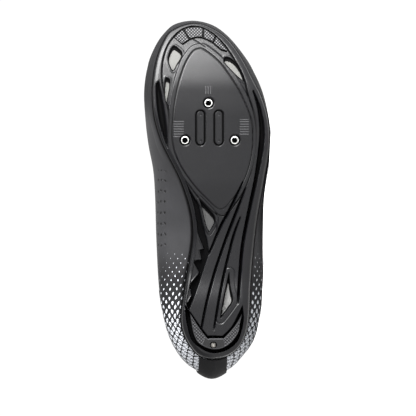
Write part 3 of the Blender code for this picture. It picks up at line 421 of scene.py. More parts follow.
class Last:
    """Outside of the upper as a function of a place round it and a row up it."""

    def __init__(self) -> None:
        """Work out the two side lines of each loop."""
        self.lines = [self._sides(loop, lift) for loop, lift in
                      ((SOLE_EDGE, SOFT_GAP), (WIDEST, 0.0), (SHOULDER, 0.0), (RIM, 0.0))]
        self.reach = [float(np.linalg.norm(np.diff(line, axis=0), axis=1).sum()) for line in self.lines[1]]

    @staticmethod
    def _sides(loop: tuple, lift: float) -> list[Grid]:
        """Inner and outer line of a loop, each from heel to toe."""
        heel, toe, rows = loop

        def place(share: float, across: float, height: float) -> list[float]:
            x = np.array(share * LENGTH)
            top = underside(x) + thickness(x)
            return [float(x), across * BALL_WIDTH, float(top + lift + height * monotone(BODY_HEIGHT, share, 1))]

        inner = [place(r[0], r[1], r[3] if len(r) > 3 else 0.0) for r in rows]
        outer = [place(r[0], r[2], r[3] if len(r) > 3 else 0.0) for r in rows]
        steps = 6
        ring = smooth_run([place(*heel)] + outer + [place(*toe)] + inner[::-1], steps, closed=True)
        turn = (len(rows) + 1) * steps
        return [np.vstack([ring[:1], ring[:turn - 1:-1]]), ring[:turn + 1]]

    def point(self, turn: Grid, row: Grid) -> Grid:
        """Points at turns -1 to 1 (toe, inner side, heel, outer side, toe) and rows 0 to 3."""
        turn, row = np.broadcast_arrays(np.asarray(turn, float), np.asarray(row, float))
        outer = (turn > 0)[..., None]
        edge, widest, shoulder, rim = (
            np.where(outer, at_shares(line[1], np.abs(turn)), at_shares(line[0], np.abs(turn)))
            for line in self.lines)
        upright = np.array([0.0, 0.0, 1.0])
        over = rim - widest
        over = over / np.linalg.norm(over, axis=-1, keepdims=True)
        low, middle, high = widest - edge, shoulder - widest, rim - shoulder
        sizes = [np.linalg.norm(part, axis=-1, keepdims=True) for part in (low, middle, high)]
        r = row[..., None]
        t = [np.clip(r - k, 0, 1) for k in range(3)]
        arrive = upright * sizes[0]
        first = hermite(edge, low * 1.5 - arrive / 2, widest, arrive, t[0])
        second = hermite(widest, upright * sizes[1], shoulder, over * sizes[1], t[1])
        leave = over * sizes[2]
        third = hermite(shoulder, leave, rim, high * 1.5 - leave / 2, t[2])
        return np.where(r < 1, first, np.where(r < 2, second, third))

    def normal(self, turn: Grid, row: Grid) -> Grid:
        """Directions out of the upper."""
        turn, row = np.broadcast_arrays(np.asarray(turn, float), np.asarray(row, float))
        step_turn, step_row = 0.004, 0.03
        along = (self.point(np.minimum(turn + step_turn, 1.0), row)
                 - self.point(np.maximum(turn - step_turn, -1.0), row))
        upward = (self.point(turn, np.minimum(row + step_row, 3.0))
                  - self.point(turn, np.maximum(row - step_row, 0.0)))
        ends = (np.abs(turn) > 1.0 - step_turn)[..., None]
        along = np.where(ends, np.array([0.0, -1.0, 0.0]), along)
        normal = np.cross(upward, along)
        return normal / np.linalg.norm(normal, axis=-1, keepdims=True)

    def off(self, turn: Grid, row: Grid, distance: float | Grid) -> Grid:
        """Points at a distance outside the upper, or inside when negative."""
        return self.point(turn, row) + self.normal(turn, row) * np.asarray(distance)[..., None]

    @staticmethod
    def column(number: int) -> float:
        """Turn of one of the columns that the solids are cut at."""
        half_strip = HEEL_STRIP_WIDTH / 2 / LENGTH
        first, count = 2, 23
        return half_strip + (1 - half_strip) * (number - first) / count


# Meshes


def laid_grid(columns: int, rows: int, place: Place, kept: dict[str, Place],
              flip: bool = False) -> bmesh.types.BMesh:
    """Grid sheet whose vertices go where a function of their column and row says.

    Args:
        columns: cells along the sheet.
        rows: cells across it.
        place: gives the points for arrays of column and row numbers.
        kept: functions of the same arrays whose numbers the vertices keep by name.
        flip: whether the faces are turned over.

    Returns:
        The sheet, with a UV map from 0 to 1 each way.
    """
    bm = bmesh.new()
    bm.loops.layers.uv.new("UVMap")
    bmesh.ops.create_grid(bm, x_segments=columns, y_segments=rows, size=0.5, calc_uvs=True)
    flat = np.array([vert.co[:2] for vert in bm.verts]) + 0.5
    column, row = np.rint(flat[:, 0] * columns), np.rint(flat[:, 1] * rows)
    for vert, point in zip(bm.verts, place(column, row)):
        vert.co = point
    for name, number in kept.items():
        layer = bm.verts.layers.float.new(name)
        for vert, value in zip(bm.verts, number(column, row)):
            vert[layer] = value
    if flip:
        bmesh.ops.reverse_faces(bm, faces=bm.faces[:])
    return bm


def join_doubles(bm: bmesh.types.BMesh, distance: float = 1e-6) -> None:
    """Join vertices that share a place and turn the faces of the closed shape outwards."""
    bmesh.ops.remove_doubles(bm, verts=bm.verts[:], dist=distance)
    bmesh.ops.recalc_face_normals(bm, faces=bm.faces[:])


def listed(values: Grid) -> Place:
    """Function of column and row numbers that looks up listed values."""
    return lambda column, row: values[column.astype(int), row.astype(int)]


def finish_piece(name: str, bm: bmesh.types.BMesh, materials: Sequence[bpy.types.Material],
                 stands_for: Sequence[str], smooth_angle: float = 40.0) -> bpy.types.Object:
    """Lay a shape down, make it an object and fasten it to the frame.

    Args:
        name: name of the piece.
        bm: its shape in the shoe's own frame.
        materials: its materials in the order of its slots.
        stands_for: the solids that it replaces.
        smooth_angle: edges sharper than this stay crisp.

    Returns:
        The new object.
    """
    bmesh.ops.transform(bm, matrix=LYING, verts=bm.verts[:])
    mesh = bpy.data.meshes.new(name)
    bm.to_mesh(mesh)
    bm.free()
    mesh.shade_smooth()
    mesh.set_sharp_from_angle(angle=math.radians(smooth_angle))
    piece = bpy.data.objects.new(name, mesh)
    bpy.context.scene.collection.objects.link(piece)
    for material in materials:
        mesh.materials.append(material)
    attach(piece, "root")
    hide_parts(*stands_for)
    LOG.info("%s: %d faces", name, len(mesh.polygons))
    return piece


def add_modifier(piece: bpy.types.Object, kind: str, settings: dict[str, object]) -> None:
    """Add a modifier with its settings."""
    modifier = piece.modifiers.new(kind.lower(), kind)
    for key, value in settings.items():
        setattr(modifier, key, value)


def thicken(piece: bpy.types.Object, thick: float, offset: float, edge: float, segments: int = 2) -> None:
    """Give a sheet its thickness and round its edges."""
    add_modifier(piece, "SOLIDIFY", {"thickness": thick, "offset": offset})
    add_modifier(piece, "BEVEL", {"width": edge, "segments": segments, "limit_method": "ANGLE",
                                  "angle_limit": math.radians(50)})


def measured_uv(mesh: bpy.types.Mesh, measure: Callable[[Grid, Grid], tuple[Grid, Grid]]) -> None:
    """Change a UV map that runs from 0 to 1 into metres along and across the piece."""
    layer = mesh.uv_layers[0].uv
    flat = np.empty(len(layer) * 2, np.float32)
    layer.foreach_get("vector", flat)
    flat = flat.reshape(-1, 2)
    u, v = measure(flat[:, 0], flat[:, 1])
    layer.foreach_set("vector", np.stack([u, v], axis=-1).astype(np.float32).ravel())


# Shader maths


class Value:
    """Number in a material, worked out with ordinary operators."""

    def __init__(self, tree: Tree, socket: bpy.types.NodeSocket) -> None:
        """Wrap an output socket."""
        self.tree = tree
        self.socket = socket

    def math(self, operation: str, *others: Value | float) -> Value:
        """Apply a Math node to this value and up to two more."""
        return self.tree.math(operation, self, *others)

    def __add__(self, other: Value | float) -> Value:
        """Sum."""
        return self.math("ADD", other)

    __radd__ = __add__

    def __sub__(self, other: Value | float) -> Value:
        """Difference."""
        return self.math("SUBTRACT", other)

    def __rsub__(self, other: float) -> Value:
        """Difference from a number."""
        return self.tree.math("SUBTRACT", other, self)

    def __mul__(self, other: Value | float) -> Value:
        """Product."""
        return self.math("MULTIPLY", other)

    __rmul__ = __mul__

    def __truediv__(self, other: Value | float) -> Value:
        """Quotient."""
        return self.math("DIVIDE", other)

    def __rtruediv__(self, other: float) -> Value:
        """Number divided by this value."""
        return self.tree.math("DIVIDE", other, self)

    def size(self) -> Value:
        """Absolute value."""
        return self.math("ABSOLUTE")

    def least(self, other: Value | float) -> Value:
        """Smaller of two."""
        return self.math("MINIMUM", other)

    def most(self, other: Value | float) -> Value:
        """Larger of two."""
        return self.math("MAXIMUM", other)

    def wave(self) -> Value:
        """Distance from the middle of a unit cell, from 0 to 0.5."""
        return self.math("FRACT").math("SUBTRACT", 0.5).size()

    def sine(self) -> Value:
        """Sine."""
        return self.math("SINE")

    def soft(self, low: float, high: float, start: float = 0.0, end: float = 1.0) -> Value:
        """Soft step between two places.

        Args:
            low: place where the step starts.
            high: place where it ends.
            start: value before it.
            end: value after it.

        Returns:
            The stepped value.
        """
        node = self.tree.add("ShaderNodeMapRange", {"interpolation_type": "SMOOTHSTEP"},
                             {"Value": self, "From Min": low, "From Max": high, "To Min": start, "To Max": end})
        return Value(self.tree, node.outputs[0])


class Tree:
    """Node tree of one material around its Principled shader."""

    def __init__(self, name: str, settings: dict[str, object]) -> None:
        """Make the material and set the sockets that are the same all over.

        Args:
            name: name of the material.
            settings: socket names of the shader with their values.
        """
        self.material = bpy.data.materials.new(name)
        self.material.use_nodes = True
        self.nodes = self.material.node_tree.nodes
        self.links = self.material.node_tree.links
        self.shader = self.nodes["Principled BSDF"]
        for key, value in settings.items():
            self.put(self.shader.inputs[key], value)

    def put(self, socket: bpy.types.NodeSocket, value: object) -> None:
        """Give a socket a value or a link."""
        if isinstance(value, Value):
            value = value.socket
        if isinstance(value, bpy.types.NodeSocket):
            self.links.new(value, socket)
        elif isinstance(value, tuple) and socket.type == "RGBA":
            socket.default_value = (*value, 1.0)
        else:
            socket.default_value = value

    def add(self, kind: str, settings: dict[str, object] | None = None,
            inputs: dict[str | int, object] | None = None) -> bpy.types.Node:
        """Add a node.

        Args:
            kind: type of the node.
            settings: its own settings, set first.
            inputs: values or links of its sockets, by name or number.

        Returns:
            The node.
        """
        node = self.nodes.new(kind)
        for key, value in (settings or {}).items():
            setattr(node, key, value)
        for key, value in (inputs or {}).items():
            self.put(node.inputs[key], value)
        return node

    def math(self, operation: str, *values: Value | float) -> Value:
        """Add a Math node."""
        node = self.add("ShaderNodeMath", {"operation": operation}, dict(enumerate(values)))
        return Value(self, node.outputs[0])

    def dull(self, mask: Value, colour: Colour) -> None:
        """Show a colour without gloss where a mask is 1."""
        plain = self.add("ShaderNodeBsdfPrincipled", None,
                         {"Base Color": colour, "Roughness": 1.0, "Specular IOR Level": 0.0})
        mix = self.add("ShaderNodeMixShader", None, {0: mask, 1: self.shader.outputs[0], 2: plain.outputs[0]})
        self.put(self.nodes["Material Output"].inputs["Surface"], mix.outputs[0])

    def place(self) -> bpy.types.NodeSocket:
        """Place on the object, in metres."""
        return self.add("ShaderNodeTexCoord").outputs["Object"]

    def axes(self, source: bpy.types.NodeSocket) -> tuple[Value, Value, Value]:
        """Three numbers of a vector."""
        node = self.add("ShaderNodeSeparateXYZ", None, {0: source})
        return tuple(Value(self, output) for output in node.outputs)

    def sole_place(self) -> tuple[Value, Value]:
        """Place along and across the sole in the shoe's own frame."""
        world = self.axes(self.place())
        origin = LYING.translation
        x, y = (sum((axis - origin[k]) * LYING[k][column] for k, axis in enumerate(world)) for column in (0, 1))
        return x, y

    def uv(self) -> tuple[Value, Value]:
        """Place along and across the piece's own map."""
        along, across, _ = self.axes(self.add("ShaderNodeTexCoord").outputs["UV"])
        return along, across

    def kept(self, name: str) -> Value:
        """Number that the mesh keeps for each vertex."""
        node = self.add("ShaderNodeAttribute", {"attribute_name": name})
        return Value(self, node.outputs["Fac"])

    def noise(self, scale: float, detail: float = 2.0) -> Value:
        """Noise of a scale, from 0 to 1."""
        node = self.add("ShaderNodeTexNoise", None, {"Vector": self.place(), "Scale": scale, "Detail": detail})
        return Value(self, node.outputs[0])

    def mix(self, factor: Value, low: object, high: object) -> bpy.types.NodeSocket:
        """Colour between two colours."""
        node = self.add("ShaderNodeMix", {"data_type": "RGBA"}, {0: factor, 6: low, 7: high})
        return node.outputs[2]

    def bump(self, height: Value, distance: float, strength: float = 1.0) -> None:
        """Raise the surface by a height times a distance in metres."""
        node = self.add("ShaderNodeBump", None,
                        {"Height": height, "Distance": distance, "Strength": strength})
        self.put(self.shader.inputs["Normal"], node.outputs[0])

    def paint(self, colour: object, roughness: Value) -> None:
        """Give the shader its colour and roughness."""
        self.put(self.shader.inputs["Base Color"], colour)
        self.put(self.shader.inputs["Roughness"], roughness)


# Finishes


def toned(colour: Colour, factor: float) -> Colour:
    """Colour made darker or lighter."""
    return tuple(c * factor for c in colour)


@dataclass(frozen=True)
class MouldedSole:
    """Dark glass-filled nylon with a fine grain, with painted shade, without gloss, in its recesses and creases.
    """

    colour: Colour = (0.0022, 0.0022, 0.0027)
    # recess: colour of the painted shade in recesses and crease lines
    recess: Colour = (0.0012, 0.0012, 0.0013)
    # paler colour of the raised tick lines, a painted highlight
    tick_highlight: Colour = (0.022, 0.022, 0.023)
    roughness: float = 0.24
    tick_pitch: float = 0.0020
    tick_edge: float = 0.0003

    def ticks(self, x: Value, y: Value) -> Value:
        """Mask of the raised lines that show the cleat's place, which also gets a painted highlight."""
        bars, posts = ((v / self.tick_pitch).wave().soft(0.14, 0.26, 1.0, 0.0) for v in (x, y))
        boxes = []
        for low, high, near, far in TICK_BOXES:
            sides = ((x, low * LENGTH, high * LENGTH), (y, near * BALL_WIDTH, far * BALL_WIDTH))
            edges = [v.soft(a - self.tick_edge, a + self.tick_edge)
                     * v.soft(b - self.tick_edge, b + self.tick_edge, 1.0, 0.0) for v, a, b in sides]
            boxes.append(edges[0] * edges[1])
        return (boxes[0] + boxes[1]) * bars + boxes[2] * posts

    def make(self, name: str) -> bpy.types.Material:
        """Return the material."""
        tree = Tree(name, {"Specular IOR Level": 0.18})
        grain = tree.noise(2600.0, 3.0)
        cloud = tree.noise(60.0, 2.0)
        # deep: share of painted shade that the mesh keeps for each vertex
        deep = tree.kept("deep")
        ticks = self.ticks(*tree.sole_place())
        plain = tree.mix(cloud.soft(0.3, 0.7), toned(self.colour, 0.92),
                         toned(self.colour, 1.08))
        # the raised tick lines get a painted highlight colour and the deep places the painted shade colour
        tree.paint(tree.mix(deep, tree.mix(ticks, plain, self.tick_highlight), self.recess),
                   cloud * 0.08 + deep * 0.4 + (self.roughness - 0.04))
        tree.bump(grain * 0.10 + ticks, 0.00040, 0.7)
        # painted shade: where deep is high the surface turns to the flat dark recess colour without gloss
        tree.dull(deep * 0.9, self.recess)
        return tree.material


@dataclass(frozen=True)
class Rubber:
    """Black rubber with a fine grain and a paler colour for painted highlights on its knurl tops."""

    colour: Colour = (0.0015, 0.0015, 0.0017)
    # paler colour of the painted highlights on the knurl tops
    glint_colour: Colour = (0.095, 0.095, 0.098)
    roughness: float = 0.55

    def make(self, name: str) -> bpy.types.Material:
        """Return the material, with painted highlights on the tops of its knurls."""
        tree = Tree(name, {"Specular IOR Level": 0.20})
        cloud = tree.noise(90.0)
        tree.paint(tree.mix(tree.kept("top"), self.colour, self.glint_colour), cloud * 0.16 + (self.roughness - 0.08))
        tree.bump(tree.noise(3200.0), 0.00005, 0.5)
        return tree.material


@dataclass(frozen=True)
class Steel:
    """Turned steel with a faint grain."""

    colour: Colour = (0.72, 0.72, 0.71)
    roughness: float = 0.28

    def make(self, name: str) -> bpy.types.Material:
        """Return the material."""
        tree = Tree(name, {"Metallic": 1.0})
        grain = tree.noise(1500.0)
        tree.paint(tree.mix(grain, toned(self.colour, 0.9), self.colour),
                   grain * 0.12 + (self.roughness - 0.06))
        tree.bump(grain, 0.00002, 0.4)
        return tree.material


@dataclass(frozen=True)
class OpenMesh:
    """Woven mesh behind a window."""

    thread: Colour = (0.126, 0.126, 0.120)
    hole: Colour = (0.068, 0.068, 0.065)
    pitch: float = 0.0009

    def make(self, name: str) -> bpy.types.Material:
        """Return the material."""
        tree = Tree(name, {"Specular IOR Level": 0.3})
        x, _, z = tree.axes(tree.place())
        turns = 2 * math.pi / self.pitch
        weave = ((x + z) * turns).sine() * ((x - z) * turns).sine()
        uneven = tree.noise(220.0)
        tree.paint(tree.mix(weave.soft(-0.6, 0.6), self.hole, self.thread), uneven * 0.1 + 0.75)
        tree.bump(weave + uneven * 0.5, 0.00012)
        return tree.material


@dataclass(frozen=True)
class UpperSkin:
    """Coated dark grey synthetic with pinholes, stitching and a silver print at the heel, darker at the heel, with
    painted shade along its bottom edge and in the pinholes.
    """

    colour: Colour = (0.0150, 0.0150, 0.0162)
    # darker colour at the heel, also used for painted shade along the bottom edge next to the sole
    heel_dark_and_painted_shade: Colour = (0.004, 0.004, 0.0044)
    print_colour: Colour = (0.32, 0.33, 0.35)
    roughness: float = 0.50
    hole_pitch: float = 0.0088
    hole_radius: float = 0.0010
    hole_phase: float = 0.0020
    hole_heights: tuple[float, float, float] = (0.0258, 0.0306, 0.0352)
    print_pitch: tuple[float, float] = (0.0072, 0.0080)
    print_end: float = 0.1025
    stitch_pitch: float = 0.0030
    guard_colour: Colour = (0.0050, 0.0050, 0.0055)
    rib_pitch: float = 0.0016

    def pinholes(self, along: Value, up: Value) -> Value:
        """Mask of the columns of pinholes, which sink towards the toe with the widest line."""
        low = (along.size() - 0.118).most(0.0)
        level = up + low * low * 5.6
        away = (0.5 - ((along.size() - self.hole_phase) / self.hole_pitch).wave()) * self.hole_pitch
        mask = None
        for height in self.hole_heights:
            gap = (away * away + (level - height) * (level - height)).math("SQRT")
            column = gap.soft(self.hole_radius * 0.8, self.hole_radius * 1.3, 1.0, 0.0)
            mask = column if mask is None else mask.most(column)
        return mask * along.size().soft(0.1070, 0.1075) * along.size().soft(0.169, 0.1695, 1.0, 0.0)

    def lattice(self, along: Value, up: Value) -> Value:
        """Mask of the print: diamonds that grow towards the heel and the sole, each cut in two."""
        long, high = self.print_pitch
        level = up / high + up * up * 260.0
        first, second = ((along.size() / long + level * sign + 0.5).math("FRACT") - 0.5 for sign in (1.0, -1.0))
        slim = along.size().soft(0.030, 0.085, 0.55, 0.85)
        away = first.size().most(second.size()).most((first - second).size() * slim)
        share = along.size().soft(0.020, self.print_end, 0.40, 0.07) - up.soft(0.010, 0.045, 0.0, 0.13)
        inside = (share - away).soft(-0.02, 0.02)
        split = (first + second).size().soft(0.05, 0.09) + share.soft(0.24, 0.30, 1.0, 0.0)
        return inside * split.least(1.0) * along.size().soft(self.print_end - 0.003, self.print_end, 1.0, 0.0)

    def make(self, name: str) -> bpy.types.Material:
        """Return the material."""
        tree = Tree(name, {"Specular IOR Level": 0.16})
        along, up = tree.uv()
        rim = tree.kept("rim")
        grain = tree.noise(2100.0, 3.0)
        cloud = tree.noise(45.0)
        holes = self.pinholes(along, up)
        pattern = self.lattice(along, up)
        heel = along.size().soft(0.078, 0.108, 1.0, 0.0)
        plain = tree.mix(cloud.soft(0.3, 0.7), toned(self.colour, 0.9),
                         toned(self.colour, 1.08))
        # darker at the heel; painted shade along the lowest 1 to 2.4 mm next to the sole
        plain = tree.mix((heel * 0.95).most(up.soft(0.0010, 0.0024, 1.0, 0.0)), plain, self.heel_dark_and_painted_shade)
        guard = along.size().soft(0.205, 0.235) * up.soft(0.0195, 0.0215, 1.0, 0.0)
        plain = tree.mix(guard, plain, self.guard_colour)
        ribs = ((along + up) / self.rib_pitch).wave().soft(0.15, 0.35) * guard
        dash = (along / self.stitch_pitch).wave().soft(0.30, 0.36, 1.0, 0.0)
        seam = (rim - 0.0062).size()
        thread = dash * seam.soft(0.0003, 0.00045, 1.0, 0.0)
        plain = tree.mix(thread, plain, (0.07, 0.07, 0.073))
        printed = tree.mix(pattern, plain, self.print_colour)
        # the pinholes are painted near black, painted shade for the inside of each hole
        tree.paint(tree.mix(holes, printed, (0.0012, 0.0012, 0.0012)),
                   cloud * 0.1 + (self.roughness - 0.05) + guard * 0.35 - pattern * 0.15)
        trough = seam.soft(0.0, 0.0009)
        tree.bump(grain * 0.25 - holes * 4.0 + thread * 1.5 + trough * 1.2 + pattern * 0.5 + ribs * 0.8, 0.00012)
        return tree.material


@dataclass(frozen=True)
class Cloth:
    """Knitted or woven cloth with a visible thread."""

    colour: Colour
    thread: Colour
    pitch: float = 0.0012
    roughness: float = 0.85

    def make(self, name: str) -> bpy.types.Material:
        """Return the material."""
        tree = Tree(name, {"Sheen Weight": 0.25, "Sheen Roughness": 0.5, "Specular IOR Level": 0.3})
        x, y, z = tree.axes(tree.place())
        turns = 2 * math.pi / self.pitch
        weave = ((x + y) * turns).sine() * ((z - y) * turns).sine()
        fuzz = tree.noise(1400.0)
        tree.paint(tree.mix(weave.soft(-0.7, 0.7), self.colour, self.thread), fuzz * 0.1 + (self.roughness - 0.05))
        tree.bump(weave * 0.5 + fuzz * 0.6, 0.00018)
        return tree.material


@dataclass(frozen=True)
class HeelRubber:
    """Matt black film up the middle of the heel."""

    colour: Colour = (0.0030, 0.0030, 0.0033)

    def make(self, name: str) -> bpy.types.Material:
        """Return the material."""
        tree = Tree(name, {"Specular IOR Level": 0.10})
        cloud = tree.noise(120.0)
        tree.paint(tree.mix(cloud, toned(self.colour, 0.8), toned(self.colour, 1.4)),
                   cloud * 0.14 + 0.50)
        tree.bump(tree.noise(2400.0), 0.00007, 0.6)
        return tree.material


@dataclass(frozen=True)
class Webbing:
    """Coated strap with a ribbed face and a stitched edge."""

    colour: Colour = (0.016, 0.016, 0.017)
    thread: Colour = (0.07, 0.07, 0.073)
    length: float = 0.11
    width: float = 0.026

    def make(self, name: str) -> bpy.types.Material:
        """Return the material."""
        tree = Tree(name, {"IOR": 1.45})
        along, across = tree.uv()
        edge = (0.5 - (across / self.width - 0.5).size()) * self.width
        end = (0.5 - (along / self.length - 0.5).size()) * self.length
        border = edge.least(end)
        run = (along + across) / 0.0026
        line = (border - 0.0022).size()
        thread = run.wave().soft(0.30, 0.36, 1.0, 0.0) * line.soft(0.00025, 0.0004, 1.0, 0.0)
        rib = (along / 0.0011).wave() * border.soft(0.003, 0.0034)
        cloud = tree.noise(140.0)
        tree.paint(tree.mix(thread, tree.mix(cloud, toned(self.colour, 0.85),
                                             toned(self.colour, 1.2)), self.thread),
                   cloud * 0.14 + 0.52)
        tree.bump(rib + thread * 1.2 - line.soft(0.0, 0.0008, 1.0, 0.0), 0.00022)
        return tree.material


@dataclass(frozen=True)
class PaleFloor:
    """Near-white seamless ground."""

    colour: Colour = (0.96, 0.96, 0.96)

    def make(self, name: str) -> bpy.types.Material:
        """Return the material."""
        tree = Tree(name, {"Specular IOR Level": 0.1})
        cloud = tree.noise(3.0)
        tree.paint(tree.mix(cloud, toned(self.colour, 0.995), self.colour), cloud * 0.02 + 0.8)
        return tree.material


# Pieces


class MeshTint(Enum):
    """The shades of mesh in the windows of the sole."""

    PALE = OpenMesh()
    GREY = OpenMesh(thread=(0.050, 0.050, 0.050), hole=(0.025, 0.025, 0.025))
    SILVER = OpenMesh(thread=(0.20, 0.20, 0.197), hole=(0.105, 0.105, 0.103))


class SoleSections:
    """Cross-sections of a slab that follows the edge of the sole."""

    def __init__(self, inset: float = 0.0) -> None:
        """Work out both sides, moved inwards by an inset."""
        heel, toe, rows = SOLE_EDGE
        knots = [heel[:2]] + [(r[0], r[2]) for r in rows] + [toe[:2]] + [(r[0], r[1]) for r in rows[::-1]]
        steps = 12
        ring = smooth_run(plan(knots), steps, closed=True)
        self.outline = Outline(ring)
        turn = (len(rows) + 1) * steps
        outer, inner = ring[:turn + 1], np.vstack([ring[:1], ring[:turn - 1:-1]])
        self.lines = [(np.maximum.accumulate(line[:, 0]), line[:, 1]) for line in (inner, outer)]
        self.inset = inset
        self.start, self.end = ring[0, 0] + inset, ring[turn, 0] - inset

    def stations(self, count: int) -> Grid:
        """Places along the slab, closer together at its round ends."""
        t = np.linspace(0, 1, 6001)
        density = 1 + 0.25 / np.sqrt(t + 2e-4) + 0.25 / np.sqrt(1 - t + 2e-4)
        total = np.concatenate([[0], np.cumsum((density[1:] + density[:-1]) / 2)])
        spread = np.interp(np.linspace(0, total[-1], count + 1), total, t)
        return self.start + (self.end - self.start) * spread

    def sides(self, x: Grid) -> tuple[Grid, Grid]:
        """Inner and outer edge at places along the slab."""
        whole = (x - self.start) / (self.end - self.start)
        place = self.start - self.inset + whole * (self.end - self.start + 2 * self.inset)
        inner, outer = (np.interp(place, line[0], line[1]) for line in self.lines)
        middle, half = (inner + outer) / 2, (outer - inner) / 2
        half = half * np.maximum(1 - self.inset / np.maximum(half.max(), 1e-6) * 1.4, 0.1)
        return middle - half, middle + half


class Relief:
    """Depth of the underside over points in the plan, with painted shade in its creases and recesses, gathered cut
    by cut.
    """

    def __init__(self, places: Grid) -> None:
        """Start with a flat underside."""
        self.places = places
        self.depth = np.zeros(len(places))
        self.painted_shade = np.zeros(len(places))
        self.stretch = SOLE_THICKNESS / thickness(places[:, 0])

    def inside(self, runs: Sequence[Sequence[Row]], reach: float = 0.006) -> Grid:
        """Distance inside an outline of smooth runs, negative outside."""
        return Outline.of_runs(runs).depth(self.places, reach)

    def cut(self, depth: float | Grid, share: Grid) -> None:
        """Sink the underside to a depth where a share is 1."""
        self.depth = np.maximum(self.depth, depth * share)

    def paint_shade(self, share: Grid) -> None:
        """Paint shade into the creases, recesses and outlines, to a share."""
        self.painted_shade = np.maximum(self.painted_shade, share)


@dataclass
class Outsole:
    """Moulded sole with its rim, cleat land, hollows, grooves, windows and bolt holes."""

    along: int = 500
    across: int = 182
    wall: int = 3
    rim_width: float = 0.0030
    rim_steps: Row = (0.0, 0.11, 0.22, 0.33, 0.45, 0.6, 0.78)
    floor_depth: float = 0.0010
    border: float = 0.0036
    hollow_depth: float = 0.0046
    arch_depth: float = 0.0034
    heel_depth: float = 0.0042
    pocket_depth: float = 0.0026
    window_depth: float = 0.0064
    ledge_depth: float = 0.0029
    ledge_width: float = 0.0007
    slot_depth: float = 0.0020
    slot_length: float = 0.0281
    slot_width: float = 0.0073
    finish: MouldedSole = field(default_factory=MouldedSole)

    def forefoot(self, relief: Relief) -> None:
        """Sink the forefoot round the cleat land and raise the ridge beside it."""
        floor, land = relief.inside(FOREFOOT_FLOOR, 0.008), relief.inside(CLEAT_LAND, 0.008)
        clear = 1 - ramp(land, -0.0030, -0.0020)
        relief.cut(self.floor_depth, ramp(floor, -0.0002, 0.0006))
        relief.depth *= 1 - ramp(land, -self.border - 0.0010, -self.border)
        relief.depth += 0.0009 * hump(floor - 0.0002, 0.0009) * clear
        relief.depth += 0.0007 * hump(land, 0.0008)
        relief.depth -= 0.0011 * hump(land + self.border * 0.55, self.border * 0.55)
        relief.depth -= 0.00025 * hump(land + 0.0014, 0.0007)
        # painted shade along the crease round the floor and the cleat land's outline
        relief.paint_shade(hump(floor - 0.0002, 0.0009) * clear)
        relief.paint_shade(0.9 * hump(land, 0.0006))

    def ribs(self, relief: Relief, edge: Grid) -> None:
        """Cut the long grooves, which fade out at the heel, and round the ribs between them."""
        share = relief.places[:, 0] / LENGTH
        near = np.full(len(share), -0.006)
        for deep, rows in GROOVES:
            gap = Outline.of_band(rows).depth(relief.places)
            near = np.maximum(near, gap)
            end = rows[-1][0]
            fade = ramp(share, end - 0.002, end + 0.032) if end < 0.3 else 1.0
            relief.cut(deep * relief.stretch * 1.3 * fade, ramp(gap, -0.0007, 0.0009))
            # painted shade in the grooves
            relief.paint_shade(fade * ramp(gap, -0.0002, 0.0004))
        ribbed = ramp(share, 0.14, 0.20) * (1 - ramp(share, 0.42, 0.52)) * ramp(edge, 0.004, 0.006)
        relief.depth -= 0.0010 * relief.stretch * ribbed * ramp(-near, 0.0002, 0.0030)

    def hollows(self, relief: Relief) -> None:
        """Cut the hollow on the inner side, the heel pad's recess and the stepped recess under the arch."""
        hollow, arch, heel = (relief.inside(runs) for runs in (MEDIAL_HOLLOW, ARCH_RECESS, HEEL_RECESS))
        relief.cut(self.hollow_depth, ramp(hollow, -0.0004, 0.0022))
        # painted shade in the hollow and on the arch recess's steep facets
        relief.paint_shade(ramp(hollow, 0.0001, 0.0018))
        relief.cut(self.heel_depth, ramp(heel, -0.0003, 0.0010))
        rim = np.array(sorted(plan(ARCH_RECESS[2]).tolist()))
        from_rim = relief.places[:, 1] - np.interp(relief.places[:, 0], rim[:, 0], rim[:, 1])
        facets, island = relief.inside(ARCH_FACETS), relief.inside(ARCH_ISLAND)
        slope = ramp(facets, 0.0003, -0.0003) * 0.8 + 0.2 * ramp(from_rim, 0.0004, 0.0075)
        deep = self.arch_depth * (0.2 + 1.0 * slope) * (1 - 0.72 * ramp(island, -0.0006, 0.0006))
        relief.cut(deep, ramp(arch, -0.0003, 0.0009))
        relief.paint_shade(ramp(slope, 0.5, 0.8) * ramp(arch, 0.0, 0.0006) * (1 - ramp(island, -0.0004, 0.0002)))
        relief.depth -= 0.0003 * relief.stretch * hump(facets - 0.0006, 0.0008) * ramp(arch, 0.0, 0.0006)

    def tread_bed(self, relief: Relief) -> None:
        """Cut the pocket of the toe tread and the fine seam beside it."""
        pocket = Outline(np.vstack([smooth_run(plan(TREAD_OUTER), 8), smooth_run(plan(TREAD_INNER), 8)[::-1]]))
        gap = pocket.depth(relief.places)
        relief.cut(self.pocket_depth, ramp(gap, -0.0005, 0.0004))
        # painted shade along the tread pocket's edge and the seam
        relief.paint_shade(ramp(gap, -0.0009, -0.0002))
        seam = Outline.of_band(TREAD_SEAM).depth(relief.places)
        relief.depth += 0.0004 * ramp(seam, -0.0003, 0.0003)
        relief.paint_shade(0.7 * ramp(seam, -0.0004, 0.0002))

    def windows(self, relief: Relief) -> None:
        """Cut the windows, each with a ledge on its heel side, the rear two with a raised border."""
        for number, runs in enumerate(WINDOWS):
            window = Outline.of_runs(runs)
            gap = window.depth(relief.places)
            if number > 2:
                away = 0.0042 if number == 4 else 0.0024
                relief.depth += 0.0006 * relief.stretch * hump(gap + away, 0.0007)
            relief.depth -= 0.0003 * relief.stretch * hump(gap + 0.0010, 0.0008)
            ledge = window.depth(relief.places + np.array([0.0028, 0.0]))
            wall = self.ledge_depth * ramp(gap, -0.0004, 0.0008)
            wall = np.where(ledge < self.ledge_width, wall, self.window_depth * ramp(gap, -0.0003, 0.0005))
            relief.depth = np.where(gap > -0.0004, np.maximum(relief.depth, wall), relief.depth)
